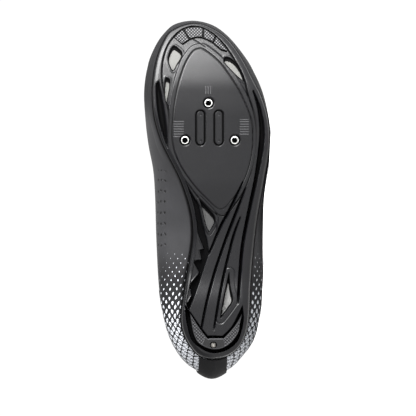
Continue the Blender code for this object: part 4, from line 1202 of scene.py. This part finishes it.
            # painted shade round each window
            relief.paint_shade(ramp(gap, -0.0006, 0.0001))

    def fixings(self, relief: Relief) -> None:
        """Cut the bolt holes with their counterbores and the two slots."""
        for place in BOLTS.values():
            ring, hole = (Outline.of_circle(place, radius).depth(relief.places) for radius in (0.0044, 0.0037))
            relief.cut(0.0012, ramp(ring, -0.0003, 0.0004))
            relief.cut(self.window_depth, ramp(hole, -0.0001, 0.0003))
            # painted shade in the outlines of the bolt rings and slots
            relief.paint_shade(ramp(ring, -0.0003, 0.0002))
        for place in SLOTS.values():
            gap = Outline.of_slot(place, self.slot_length, self.slot_width).depth(relief.places)
            relief.cut(self.slot_depth, ramp(gap, -0.0006, 0.0001))
            relief.paint_shade(ramp(gap, -0.0009, -0.0002))

    def relief(self, p: Grid, edge: Grid) -> tuple[Grid, Grid]:
        """Depth of the underside's relief and the painted shade in its creases.

        Args:
            p: points in the plan.
            edge: their distance inside the edge of the sole.

        Returns:
            Depth above the flat underside, in the sole's flat state, and a share of painted shade for the creases
            and lines.
        """
        relief = Relief(p)
        self.forefoot(relief)
        self.ribs(relief, edge)
        self.hollows(relief)
        self.tread_bed(relief)
        self.windows(relief)
        self.fixings(relief)
        return relief.depth, relief.painted_shade

    def shares_across(self, half: Grid) -> Grid:
        """Shares across the sole from -1 to 1, with lines held close to each rim.

        Args:
            half: half the sole's width at each station.

        Returns:
            A row of shares for each station.
        """
        rim = np.minimum(self.rim_width / half, 0.3)
        steps = np.array(self.rim_steps)
        s = np.linspace(-1, 1, self.across + 1 - 2 * len(steps))
        middle = (1 - rim) * (0.8 * s + 0.2 * np.sin(math.pi / 2 * s))
        return np.concatenate([rim * steps - 1, middle, 1 - rim * steps[::-1]], axis=1)

    @staticmethod
    def rounding(x: Grid, edge: Grid, outside: Grid) -> Grid:
        """Height of the rounded rim above the flat underside.

        Args:
            x: places along the sole.
            edge: their distances inside its edge.
            outside: whether they are on the outer half.

        Returns:
            A height for each place.
        """
        inset = np.where(outside, monotone(SIDE_INSET, x / LENGTH, 2), monotone(SIDE_INSET, x / LENGTH, 1))
        waist, toe = (monotone(BEAD_PROFILE, edge / inset, column) for column in (1, 2))
        return SOLE_THICKNESS * (waist + (toe - waist) * ramp(x / LENGTH, 0.70, 0.82))

    def build(self) -> bpy.types.Object:
        """Return the piece."""
        sections = SoleSections()
        stations = sections.stations(self.along)
        inner, outer = sections.sides(stations)
        half = (outer - inner)[:, None] / 2
        spread = self.shares_across(half)
        up = np.linspace(0, 1, self.wall + 1)[1:]
        back = np.concatenate([np.ones(self.wall), [0.0, -1.0], -np.ones(self.wall)])
        across = np.concatenate([spread, np.tile(back, (self.along + 1, 1))], axis=1)
        rise = np.concatenate([np.zeros(self.across + 1), up, [1.0, 1.0], up[::-1][1:], [0.0]])
        count = across.shape[1] - 1
        x = np.repeat(stations, self.across + 1)
        y = ((inner + outer)[:, None] / 2 + half * spread).ravel()
        p = np.stack([x, y], axis=-1)
        edge = np.maximum(sections.outline.depth(p), 0)
        side = self.rounding(x, edge, y > ((inner + outer) / 2).repeat(self.across + 1))
        shape = (self.along + 1, self.across + 1)
        depth, painted_shade, side = (part.reshape(shape) for part in (*self.relief(p, edge), side))
        # painted shade in the deepest places and along a thin line at the sole's very edge
        painted_shade = np.maximum(painted_shade, ramp(depth - side, 0.0032, 0.0040))
        painted_shade = np.maximum(painted_shade, 1 - ramp(edge.reshape(shape), 0.0005, 0.0011))
        depth = np.maximum(depth, side)
        flat = BEAD_PROFILE[0][1] * SOLE_THICKNESS

        def place(column: Grid, row: Grid) -> Grid:
            i, j = column.astype(int), row.astype(int)
            low = depth[i, np.minimum(j, self.across)]
            z = np.where(j <= self.across, low, flat + (SOLE_THICKNESS - flat) * rise[j])
            return np.stack([stations[i], (inner[i] + outer[i]) / 2 + half[i, 0] * across[i, j],
                             bent_height(stations[i], z)], axis=-1)

        # painted shade for each vertex: the underside's share, and on the side wall a shade that grows towards the
        # top
        def sunk(column: Grid, row: Grid) -> Grid:
            i, j = column.astype(int), np.minimum(row.astype(int), self.across)
            return np.where(row <= self.across, painted_shade[i, j], 0.75 + 0.25 * ramp(rise[row.astype(int)], 0.6, 1.0))

        bm = laid_grid(self.along, count, place, {"deep": sunk})
        join_doubles(bm)
        return finish_piece("moulded_outsole", bm, [self.finish.make("moulded_sole")], ["outsole"],
                            78.0)


@dataclass
class RaisedBand:
    """Rubber band between two lines of the underside, with knurls and a skirt down to its bed."""

    name: str
    node: str
    slot: str
    outer: Sequence[Row]
    inner: Sequence[Row]
    top: float
    bed: float
    margin: float
    columns: int
    rows: int
    knurl_pitch: float
    knurl_depth: float
    splits: Sequence[tuple[Row, Row]] = ()
    smooth_share: tuple[float, float] = (2.0, 2.0)
    hole: Row | None = None
    # share of painted highlight along the band's border
    edge_light: float = 0.0
    split_width: float = 1.2
    hole_radius: float = 0.0027
    finish: Rubber = field(default_factory=Rubber)

    def surface(self, p: Grid, share: Grid, width: Grid) -> tuple[Grid, Grid]:
        """Height of the band's top and the painted highlight on its knurl tops and border.

        Args:
            p: points of the top in the plan, column by column.
            share: where the rows lie across the band, from 0 to 1.
            width: width of the band at each column.

        Returns:
            A height and a share of painted highlight for each column and row.
        """
        tri = [np.abs(((p[:, 0] + sign * p[:, 1]) / self.knurl_pitch) % 1 - 0.5) * 2 for sign in (1, -1)]
        u = np.repeat(np.linspace(0, 1, len(width)), len(share))
        v = np.tile(share, len(width))
        first, last = self.smooth_share
        plain = ramp(u, first - 0.02, first) * (1 - ramp(u, last, last + 0.02))
        border = np.minimum(v, 1 - v) * width.repeat(len(share))
        rim = ramp(border, 0.0005, 0.0010)
        knurl = np.maximum(*tri) ** 1.6 * (1 - plain) * rim
        z = self.top + self.knurl_depth * knurl + 0.0004 * hump(border, 0.0006)
        fall = self.bed - self.top
        cut = np.zeros(len(p))
        for ends in self.splits:
            gap = Outline.of_band([(*end, self.split_width) for end in ends]).depth(p)
            z += fall * 0.6 * ramp(gap, -0.0003, 0.0003)
            cut = np.maximum(cut, ramp(gap, -0.0006, 0.0))
        if self.hole:
            gap = Outline.of_circle(self.hole, self.hole_radius).depth(p)
            z = np.where(gap > -0.0003, z + fall * ramp(gap, -0.0002, 0.0003), z)
        # painted highlight on the knurl tops and, by edge_light, along the border
        painted_glint = np.maximum(ramp(1 - knurl, 0.22, 0.75) * rim * (1 - plain) * (1 - cut),
                            self.edge_light * hump(border - 0.0004, 0.0006))
        return z.reshape(len(width), -1), painted_glint.reshape(len(width), -1)

    def build(self) -> bpy.types.Object:
        """Return the piece."""
        lines = [at_shares(smooth_run(plan(line), 10), np.linspace(0, 1, self.columns - 1))
                 for line in (self.inner, self.outer)]
        width = np.linalg.norm(lines[1] - lines[0], axis=1)
        share = np.linspace(0, 1, self.rows - 1)
        margin = np.minimum(self.margin / np.maximum(width, 1e-6), 0.45)
        t = margin[:, None] + (1 - 2 * margin[:, None]) * share[None]
        top = lines[0][:, None] + (lines[1] - lines[0])[:, None] * t[..., None]
        z, painted_glint = self.surface(top.reshape(-1, 2), share, width)

        def index(column: Grid, row: Grid) -> tuple[Grid, Grid, Grid]:
            i = np.clip(column.astype(int) - 1, 0, self.columns - 2)
            j = np.clip(row.astype(int) - 1, 0, self.rows - 2)
            skirt = (column < 1) | (column > self.columns - 1) | (row < 1) | (row > self.rows - 1)
            return i, j, skirt

        def place(column: Grid, row: Grid) -> Grid:
            i, j, skirt = index(column, row)
            height = np.where(skirt, self.bed, z[i, j])
            return np.stack([top[i, j, 0], top[i, j, 1], bent_height(top[i, j, 0], height)], axis=-1)

        # painted highlight kept by each vertex, none on the skirt
        def tops(column: Grid, row: Grid) -> Grid:
            i, j, skirt = index(column, row)
            return np.where(skirt, 0.0, painted_glint[i, j])

        bm = laid_grid(self.columns, self.rows, place, {"top": tops})
        rim_edges = [edge for edge in bm.edges if edge.is_boundary]
        bmesh.ops.holes_fill(bm, edges=rim_edges, sides=0)
        join_doubles(bm, 1e-5)
        return finish_piece(self.name, bm, [self.finish.make(self.name)], [self.node])


@dataclass
class CleatFixing:
    """Threaded rings for the cleat bolts, the inserts between them and the heel pad's screw."""

    ring_radius: float = 0.0033
    bore: float = 0.0023
    sunk: float = 0.0005
    length: float = 0.0045
    thread_pitch: float = 0.0006
    insert_length: float = 0.0271
    insert_width: float = 0.0063
    insert_depth: float = 0.0017
    insert_grid: tuple[int, int] = (60, 20)
    screw_radius: float = 0.0024
    steel: Steel = field(default_factory=Steel)
    nylon: MouldedSole = field(default_factory=MouldedSole)

    @staticmethod
    def turned(profile: Sequence[Row], centre: Grid, closed: bool = True) -> bmesh.types.BMesh:
        """Spin a profile of radii and heights about an upright axis and bend it with the sole.

        Args:
            profile: radius and height of each point.
            centre: where the axis stands in the plan.
            closed: whether the profile runs back to its start.

        Returns:
            The turned shape.
        """
        bm = bmesh.new()
        verts = [bm.verts.new((r, 0.0, z)) for r, z in profile]
        pairs = list(zip(verts, verts[1:])) + ([(verts[-1], verts[0])] if closed else [])
        edges = [bm.edges.new(pair) for pair in pairs]
        bmesh.ops.spin(bm, geom=verts + edges, cent=(0, 0, 0), axis=(0, 0, 1), angle=2 * math.pi,
                       steps=40, use_merge=True)
        join_doubles(bm)
        for vert in bm.verts:
            x, y = centre[0] + vert.co.x, centre[1] + vert.co.y
            vert.co = (x, y, float(bent_height(np.array(x), np.array(vert.co.z))))
        return bm

    def rings(self) -> None:
        """Build the three threaded rings."""
        low, high = self.sunk, self.sunk + self.length
        steel = self.steel.make("turned_steel")
        count = int(self.length / self.thread_pitch) * 2 - 1
        thread = [(self.bore + (0.0002 if k % 2 else 0.0), high - 0.0002 - k * self.thread_pitch / 2)
                  for k in range(count)]
        profile = [(self.bore + 0.0005, low), (self.ring_radius - 0.0003, low), (self.ring_radius, low + 0.0003),
                   (self.ring_radius, high), (self.bore + 0.0003, high)] + thread
        for name, place in BOLTS.items():
            bm = self.turned(profile, plan([place])[0])
            finish_piece(f"threaded_ring_{name}", bm, [steel], [f"cleat_ring_{name}"], 30.0)

    def screw(self) -> None:
        """Build the screw with its cross recess."""
        centre = plan([SCREW_PLACE])[0]
        low = -float(underside(centre[0])) + 0.0024
        r = self.screw_radius
        dome = [(r * math.sin(a), low + 0.0009 * (1 - math.cos(a))) for a in np.linspace(0, math.pi / 2, 9)]
        bm = self.turned(dome + [(r, low + 0.0040), (0.0, low + 0.0040)], centre, closed=False)
        floor = min(vert.co.z for vert in bm.verts)
        for vert in bm.verts:
            away = (abs(vert.co.x - centre[0]), abs(vert.co.y - centre[1]))
            if min(away) < 0.0004 and max(away) < 0.0014 and vert.co.z < floor + 0.001:
                vert.co.z += 0.0006
        dull = Steel((0.30, 0.29, 0.27), 0.45)
        finish_piece("pad_screw", bm, [dull.make("screw_steel")], ["heel_screw"], 30.0)

    def inserts(self) -> None:
        """Build the two long inserts with a dimple near each end and painted shade along their edges."""
        nylon = self.nylon.make("insert_nylon")
        reach = (self.insert_length - self.insert_width) / 2
        radius = self.insert_width / 2
        columns, rows = self.insert_grid
        for name, table_place in SLOTS.items():
            centre = plan([table_place])[0]

            def place(column: Grid, row: Grid) -> Grid:
                s, t = column / columns * 2 - 1, row / rows * 2 - 1
                x = np.sin(s * math.pi / 2) * (reach + radius)
                half = np.sqrt(np.maximum(radius ** 2 - np.maximum(np.abs(x) - reach, 0) ** 2, 0))
                y = half * np.clip(t * 1.11, -1, 1)
                rim = np.minimum(1 - np.abs(np.clip(t * 1.11, -1, 1)), 1) * half
                skirt = (row < 1) | (row > rows - 1)
                pit = 0.0003 * hump(np.hypot(np.abs(x) - reach, y), 0.0011)
                z = np.where(skirt, self.insert_depth, 0.0005 * (1 - ramp(rim, 0.0, 0.0008)) + pit)
                x = x + centre[0]
                return np.stack([x, y + centre[1], bent_height(x, z)], axis=-1)

            # painted shade along the insert's edges, where it meets the slot
            def outline(column: Grid, row: Grid) -> Grid:
                near = np.minimum(np.minimum(column, columns - column) / 5, np.minimum(row, rows - row) / 3)
                return 1 - np.clip(near - 0.3, 0, 1)

            bm = laid_grid(columns, rows, place, {"deep": outline})
            bmesh.ops.holes_fill(bm, edges=[edge for edge in bm.edges if edge.is_boundary], sides=0)
            join_doubles(bm, 1e-5)
            finish_piece(f"long_insert_{name}", bm, [nylon], [f"slot_insert_{name}"])


@dataclass
class Upper:
    """Hollow upper with overlays, a padded collar, pinholes and a lining."""

    last: Last
    columns: int = 360
    rows: int = 66
    collar_roll: float = 0.0012
    map_start: float = 0.060
    film: float = 0.00035
    crease_pitch: float = 0.055
    skin: UpperSkin = field(default_factory=UpperSkin)
    lining: Cloth = field(default_factory=lambda: Cloth((0.018, 0.018, 0.019), (0.045, 0.045, 0.047)))

    def relief(self, turn: Grid, row: Grid, up: Grid) -> Grid:
        """How far the outside stands off the last's surface."""
        round_ = np.abs(turn)
        collar = 1 - ramp(round_, 0.33, 0.42)
        strip = ramp(round_, 0.045, 0.065)
        roll = self.collar_roll * hump(row - 2.90, 0.22) * collar * (strip + ramp(row, 2.74, 2.80) * (1 - strip))
        binding = self.film * ramp(row, 2.84, 2.88) * ramp(round_, 0.40, 0.46)
        bumper = self.film * (1 - ramp(up - (0.008 + 0.014 * ramp(round_, 0.72, 0.96)), -0.0004, 0.0004))
        bumper *= ramp(round_, 0.55, 0.60)
        bend = np.sin((round_ - 0.62) * 2 * math.pi / self.crease_pitch)
        bend = bend * ramp(round_, 0.60, 0.66) * (1 - ramp(round_, 0.76, 0.82))
        creases = -0.00045 * np.maximum(bend, 0) * ramp(row, 1.3, 2.0) * (1 - ramp(row, 2.75, 2.85))
        counter = self.film * (1 - ramp(round_ - 0.30 + 0.9 * up, -0.001, 0.001)) * strip
        bond = -0.0009 * (1 - ramp(up, 0.0008, 0.0026))
        return roll + binding + bumper + creases + counter + bond

    def round_lengths(self, plain: Grid, turns: Grid) -> Grid:
        """Lengths round the upper from the heel, negative on the inner side.

        Args:
            plain: points of the last for each turn and level.
            turns: the turns.

        Returns:
            A length for each point, which starts alike at one place along the shoe.
        """
        steps = np.linalg.norm(np.diff(plain, axis=0), axis=-1)
        along = np.concatenate([np.zeros((1, plain.shape[1])), np.cumsum(steps, axis=0)])
        along -= along[self.columns // 2]
        for side in (slice(None, self.columns // 2 + 1), slice(self.columns // 2, None)):
            start = np.abs(plain[side, :, 0] - self.map_start).argmin(axis=0)
            size = np.abs(along[side])
            shift = self.map_start - size[start, np.arange(plain.shape[1])]
            along[side] = np.sign(turns[side])[:, None] * (size + shift)
        return along

    def build(self) -> bpy.types.Object:
        """Return the piece."""
        turns = np.linspace(-1, 1, self.columns + 1)
        levels = np.linspace(0, 3, self.rows + 1)
        turn, level = np.meshgrid(turns, levels, indexing="ij")
        plain = self.last.point(turn, level)
        steps = np.linalg.norm(np.diff(plain, axis=1), axis=-1)
        up = np.concatenate([np.zeros((len(turns), 1)), np.cumsum(steps, axis=1)], axis=1)
        places = self.last.off(turn, level, self.relief(turn, level, up))
        along = self.round_lengths(plain, turns)
        down = up[:, -1:] - up

        def measure(u: Grid, v: Grid) -> tuple[Grid, Grid]:
            i, j = np.rint(u * self.columns).astype(int), np.rint(v * self.rows).astype(int)
            return along[i, j], up[i, j]

        bm = laid_grid(self.columns, self.rows, listed(places), {"rim": listed(down)}, flip=True)
        bmesh.ops.remove_doubles(bm, verts=bm.verts[:], dist=1e-6)
        piece = finish_piece("hollow_upper", bm, [self.skin.make("upper_skin"), self.lining.make("lining")],
                             ["upper"], 50.0)
        measured_uv(piece.data, measure)
        add_modifier(piece, "SOLIDIFY", {"thickness": UPPER_WALL, "offset": -1.0, "use_even_offset": True,
                                         "material_offset": 1, "material_offset_rim": 0})
        return piece


@dataclass
class HeelStrip:
    """Smooth strip up the middle of the heel."""

    last: Last
    width: float = 0.0362
    top_row: float = 2.7
    thick: float = 0.0012
    columns: int = 20
    rows: int = 60
    finish: HeelRubber = field(default_factory=HeelRubber)

    def build(self) -> bpy.types.Object:
        """Return the piece."""
        turn, level = np.meshgrid(np.linspace(-self.width, self.width, self.columns + 1),
                                  np.linspace(0, self.top_row, self.rows + 1), indexing="ij")
        crown = 0.0004 * (1 - (turn / self.width) ** 2)
        places = self.last.off(turn, level, GAP + crown)
        bm = laid_grid(self.columns, self.rows, listed(places), {}, flip=True)
        piece = finish_piece("smooth_heel_strip", bm, [self.finish.make("heel_film")], ["heel_strip"])
        thicken(piece, self.thick - 0.0002, 1.0, 0.0004)
        return piece


def throat_line(last: Last, turn: float, distance: float, crown: float) -> list[Grid]:
    """Points across the open throat, without its two rims.

    Args:
        last: the surface of the upper.
        turn: how far round the rims are.
        distance: distance outside the surface.
        crown: height of the middle as a share of the width.

    Returns:
        Three points, from the inner to the outer side.
    """
    start, end = last.off(-turn, 3.0, distance), last.off(turn, 3.0, distance)
    rise = np.array([0.0, 0.0, crown * float(np.linalg.norm(end - start))])
    return [start + (end - start) * t + rise * 4 * t * (1 - t) for t in (0.25, 0.5, 0.75)]


@dataclass
class Straps:
    """Three coated straps across the instep."""

    last: Last
    thick: float = 0.0018
    crown: float = 0.09
    lean: float = 0.15
    columns: int = 90
    rows: int = 20

    def control(self, turn: float, inner_row: float, outer_row: float) -> Grid:
        """Line across the instep at one place of a strap's width."""
        inner, outer = np.linspace(inner_row, 3, 7), np.linspace(3, outer_row, 7)
        line = [self.last.off(self.lean * (3 - row) - turn, row, SOFT_GAP) for row in inner]
        line += throat_line(self.last, turn, SOFT_GAP, self.crown)
        line += [self.last.off(turn - self.lean * (3 - row), row, SOFT_GAP) for row in outer]
        return np.array(line)

    def build(self) -> None:
        """Build the straps, each with a round free end on the outer side."""
        for name, first, end, outer_row, inner_row in STRAPS:
            turns = np.linspace(self.last.column(first), self.last.column(end), self.rows + 1)
            lines = []
            for k, turn in enumerate(turns):
                across = 2 * k / self.rows - 1
                cut = 0.10 * (1 - math.sqrt(max(1 - across ** 2, 0.0)))
                line = smooth_run(self.control(turn, inner_row, outer_row), 6)
                lines.append(at_shares(line, np.linspace(cut * 0.3, 1 - cut, self.columns + 1)))
            places = np.array(lines)
            length = float(np.linalg.norm(np.diff(places[self.rows // 2], axis=0), axis=1).sum())
            width = float(np.linalg.norm(np.diff(places[:, self.columns // 2], axis=0), axis=1).sum())
            bm = laid_grid(self.columns, self.rows, listed(places.swapaxes(0, 1)), {}, flip=True)
            webbing = Webbing(length=length, width=width)
            piece = finish_piece(name + "_band", bm, [webbing.make(name + "_webbing")], [name])
            measured_uv(piece.data, lambda u, v: (u * length, v * width))
            thicken(piece, self.thick, 1.0, 0.0005)


@dataclass
class Tongue:
    """Soft tongue under the throat."""

    last: Last
    thick: float = 0.004
    gap: float = 0.0015
    crown: float = 0.05
    stands_out: float = 0.011
    tucked_in: float = 0.019
    toe_taper: float = 0.8
    toe_drop: float = 0.003
    columns: int = 72
    rows: int = 40
    cloth: Cloth = field(default_factory=lambda: Cloth((0.015, 0.015, 0.016), (0.040, 0.040, 0.042), 0.0014))

    def build(self) -> bpy.types.Object:
        """Return the piece."""
        inside = -(UPPER_WALL + self.gap)
        lines = []
        for number in range(13, 24):
            turn = self.last.column(number)
            line = [self.last.off(-turn, row, inside) for row in (2.7, 3.0)]
            line += throat_line(self.last, turn, inside, self.crown)
            line += [self.last.off(turn, row, inside) for row in (3.0, 2.7)]
            lines.append(np.array(line))
        out = lines[0][3] - lines[1][3]
        lines.insert(0, lines[0] + out / np.linalg.norm(out) * self.stands_out)
        forward = lines[-1][3] - lines[-2][3]
        forward = forward / np.linalg.norm(forward) * self.tucked_in - np.array([0, 0, self.toe_drop])
        middle = lines[-1][3]
        lines.append(middle + (lines[-1] - middle) * self.toe_taper + forward)
        fine = np.array([at_shares(smooth_run(line, 4), np.linspace(0, 1, self.rows + 1)) for line in lines])
        count = len(fine)
        flat = smooth_run(fine.reshape(count, -1), 6)
        places = at_shares(flat, np.linspace(0, 1, self.columns + 1)).reshape(self.columns + 1, self.rows + 1, 3)
        share = np.linspace(0, 1, self.rows + 1)
        soften = 0.0016 * (1 - ramp(np.minimum(share, 1 - share), 0.0, 0.07))
        top_end = 0.0015 * (1 - ramp(np.linspace(0, 1, self.columns + 1), 0.0, 0.03))
        places[..., 2] -= soften[None] + top_end[:, None]
        bm = laid_grid(self.columns, self.rows, listed(places), {})
        piece = finish_piece("soft_tongue", bm, [self.cloth.make("tongue_knit")], ["tongue"])
        thicken(piece, self.thick - 0.0004, -1.0, 0.0012, 3)
        return piece


@dataclass
class Insole:
    """Thin foam insole, shallow-dished across its width."""

    along: int = 110
    across: int = 30
    inset: float = 0.0032
    low: float = SOLE_THICKNESS + GAP
    thick: float = 0.0035
    cup: float = 0.0006
    cloth: Cloth = field(default_factory=lambda: Cloth((0.020, 0.020, 0.022), (0.050, 0.050, 0.054), 0.0016))

    def build(self) -> bpy.types.Object:
        """Return the piece."""
        sections = SoleSections(self.inset)
        stations = sections.stations(self.along)
        inner, outer = sections.sides(stations)
        across = np.concatenate([np.linspace(-1, 1, self.across + 1), [1.0, 1.0, 0.0, -1.0, -1.0]])
        count = len(across) - 1

        def place(column: Grid, row: Grid) -> Grid:
            i, j = column.astype(int), row.astype(int)
            middle, half = (inner[i] + outer[i]) / 2, (outer[i] - inner[i]) / 2
            rise = self.cup * across[j] ** 2
            edge = 0.0012 * ramp(np.abs(across[j]), 0.97, 1.0)
            top = self.low + self.thick - self.cup + rise - edge
            side = np.where(j == self.across + 1, self.low + self.thick / 2, self.low)
            z = np.where(j <= self.across, top, side)
            z = np.where(j == count, self.low + self.thick - edge, z)
            return np.stack([stations[i], middle + half * across[j], bent_height(stations[i], z)], axis=-1)

        bm = laid_grid(self.along, count, place, {})
        join_doubles(bm)
        piece = finish_piece("foam_insole", bm, [self.cloth.make("insole_cloth")], ["insole"], 60.0)
        return piece


@dataclass
class WindowMeshes:
    """Mesh panels behind the windows, dressed where they stand."""

    tints: dict[str, MeshTint] = field(default_factory=lambda: {
        "vent_mesh_inner_front": MeshTint.PALE, "vent_mesh_inner_rear": MeshTint.PALE,
        "vent_mesh_outer_front": MeshTint.PALE, "vent_mesh_arch": MeshTint.GREY,
        "vent_mesh_heel": MeshTint.SILVER})

    def build(self, frame: dict) -> None:
        """Give each panel its mesh."""
        made = {tint: tint.value.make(f"window_mesh_{tint.name.lower()}") for tint in MeshTint}
        for node, tint in self.tints.items():
            for slot in frame["nodes"][node].material_slots:
                slot.material = made[tint]
            LOG.info("%s: %s mesh", node, tint.name.lower())


# Studio


@dataclass
class Studio:
    """White ground and surroundings, soft lights and the camera that looks at the sole."""

    pixel: float = 0.000805
    frame_pixels: int = 416
    distance: float = 2.4
    camera_height: float = 0.012
    aim: tuple[float, float, float] = (0.1378, -0.0007, 0.010)
    sensor: float = 36.0
    world_strength: float = 1.06
    lamp_size: float = 0.9
    lamps: tuple[tuple[str, Row, float], ...] = (
        ("toe_light", (1.25, -1.40, 0.35), 132.0),
        ("tip_light", (1.50, -0.60, 0.40), 50.0),
        ("upper_light", (0.70, -1.35, 1.30), 44.0),
    )
    ground_size: float = 60.0
    floor: PaleFloor = field(default_factory=PaleFloor)

    def ground(self) -> None:
        """Build the ground."""
        bm = bmesh.new()
        bmesh.ops.create_grid(bm, x_segments=4, y_segments=4, size=self.ground_size / 2)
        mesh = bpy.data.meshes.new("ground")
        bm.to_mesh(mesh)
        bm.free()
        mesh.materials.append(self.floor.make("pale_ground"))
        ground = bpy.data.objects.new("ground", mesh)
        bpy.context.scene.collection.objects.link(ground)

    def light(self, name: str, place: Row, target: Row, size: float, power: float) -> None:
        """Add a soft square light that faces a target."""
        data = bpy.data.lights.new(name, "AREA")
        data.size = size
        data.energy = power
        lamp = bpy.data.objects.new(name, data)
        bpy.context.scene.collection.objects.link(lamp)
        lamp.location = place
        lamp.rotation_euler = (Vector(target) - Vector(place)).to_track_quat("-Z", "Y").to_euler()

    def lights(self) -> None:
        """Add the lights, from the toe and from above, and the white surroundings."""
        middle = (0.0, 0.0, 0.05)
        for name, place, power in self.lamps:
            self.light(name, place, middle, self.lamp_size, power)
        world = bpy.data.worlds.new("studio")
        world.use_nodes = True
        back = world.node_tree.nodes["Background"]
        back.inputs["Color"].default_value = (1.0, 1.0, 1.0, 1.0)
        back.inputs["Strength"].default_value = self.world_strength
        bpy.context.scene.world = world
        bpy.context.scene.view_settings.view_transform = "Standard"

    def camera(self) -> None:
        """Look at the sole along its own normal, as far as the ground lets the camera down."""
        target = LYING @ Vector(self.aim)
        turn = LYING.to_3x3()
        normal = (turn @ Vector((0, 0, -1))).normalized()
        sink = min(-normal.z, (target.z - self.camera_height) / self.distance)
        flat = Vector((normal.x, normal.y, 0)).normalized()
        back = (flat * math.sqrt(1 - sink ** 2) + Vector((0, 0, -sink))).normalized()
        toe = turn @ Vector((1, 0, 0))
        up = (toe - toe.dot(back) * back).normalized()
        right = up.cross(back)
        data = bpy.data.cameras.new("camera")
        data.sensor_width = self.sensor
        data.lens = self.sensor * self.distance / (self.pixel * self.frame_pixels)
        data.clip_start = 0.01
        camera = bpy.data.objects.new("camera", data)
        bpy.context.scene.collection.objects.link(camera)
        matrix = Matrix((right, up, back)).transposed().to_4x4()
        matrix.translation = target + back * self.distance
        camera.matrix_world = matrix
        bpy.context.scene.camera = camera


def toe_tread() -> RaisedBand:
    """Knurled tread round the toe."""
    return RaisedBand("knurled_toe_tread", "toe_tread", "tread_rubber", TREAD_OUTER, TREAD_INNER,
                      top=-0.0008, bed=0.0022, margin=0.0006, columns=400, rows=64, knurl_pitch=0.0025,
                      knurl_depth=0.0009, splits=TREAD_SPLITS)


def heel_pad() -> RaisedBand:
    """V-shaped heel pad with a grid on its wings."""
    # edge_light and the paler rubber colour paint a highlight on the pad's border and grid
    return RaisedBand("textured_heel_pad", "heel_pad", "pad_rubber", PAD_OUTER, PAD_INNER,
                      top=-0.0040, bed=0.0038, margin=0.0002, columns=330, rows=80, knurl_pitch=0.0026,
                      knurl_depth=0.0006, smooth_share=(0.37, 0.60), hole=SCREW_PLACE, edge_light=0.8,
                      finish=Rubber(colour=(0.0022, 0.0022, 0.0025), glint_colour=(0.026, 0.026, 0.028)))


def main() -> None:
    """Load the frame, build the pieces and set the studio."""
    logging.basicConfig(level=logging.INFO, format="%(name)s %(message)s")
    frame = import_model()
    last = Last()
    Outsole().build()
    toe_tread().build()
    heel_pad().build()
    fixing = CleatFixing()
    fixing.rings()
    fixing.screw()
    fixing.inserts()
    WindowMeshes().build(frame)
    Upper(last).build()
    HeelStrip(last).build()
    Tongue(last).build()
    Straps(last).build()
    Insole().build()
    studio = Studio()
    studio.ground()
    studio.lights()
    studio.camera()


if __name__ == "__main__":
    main()
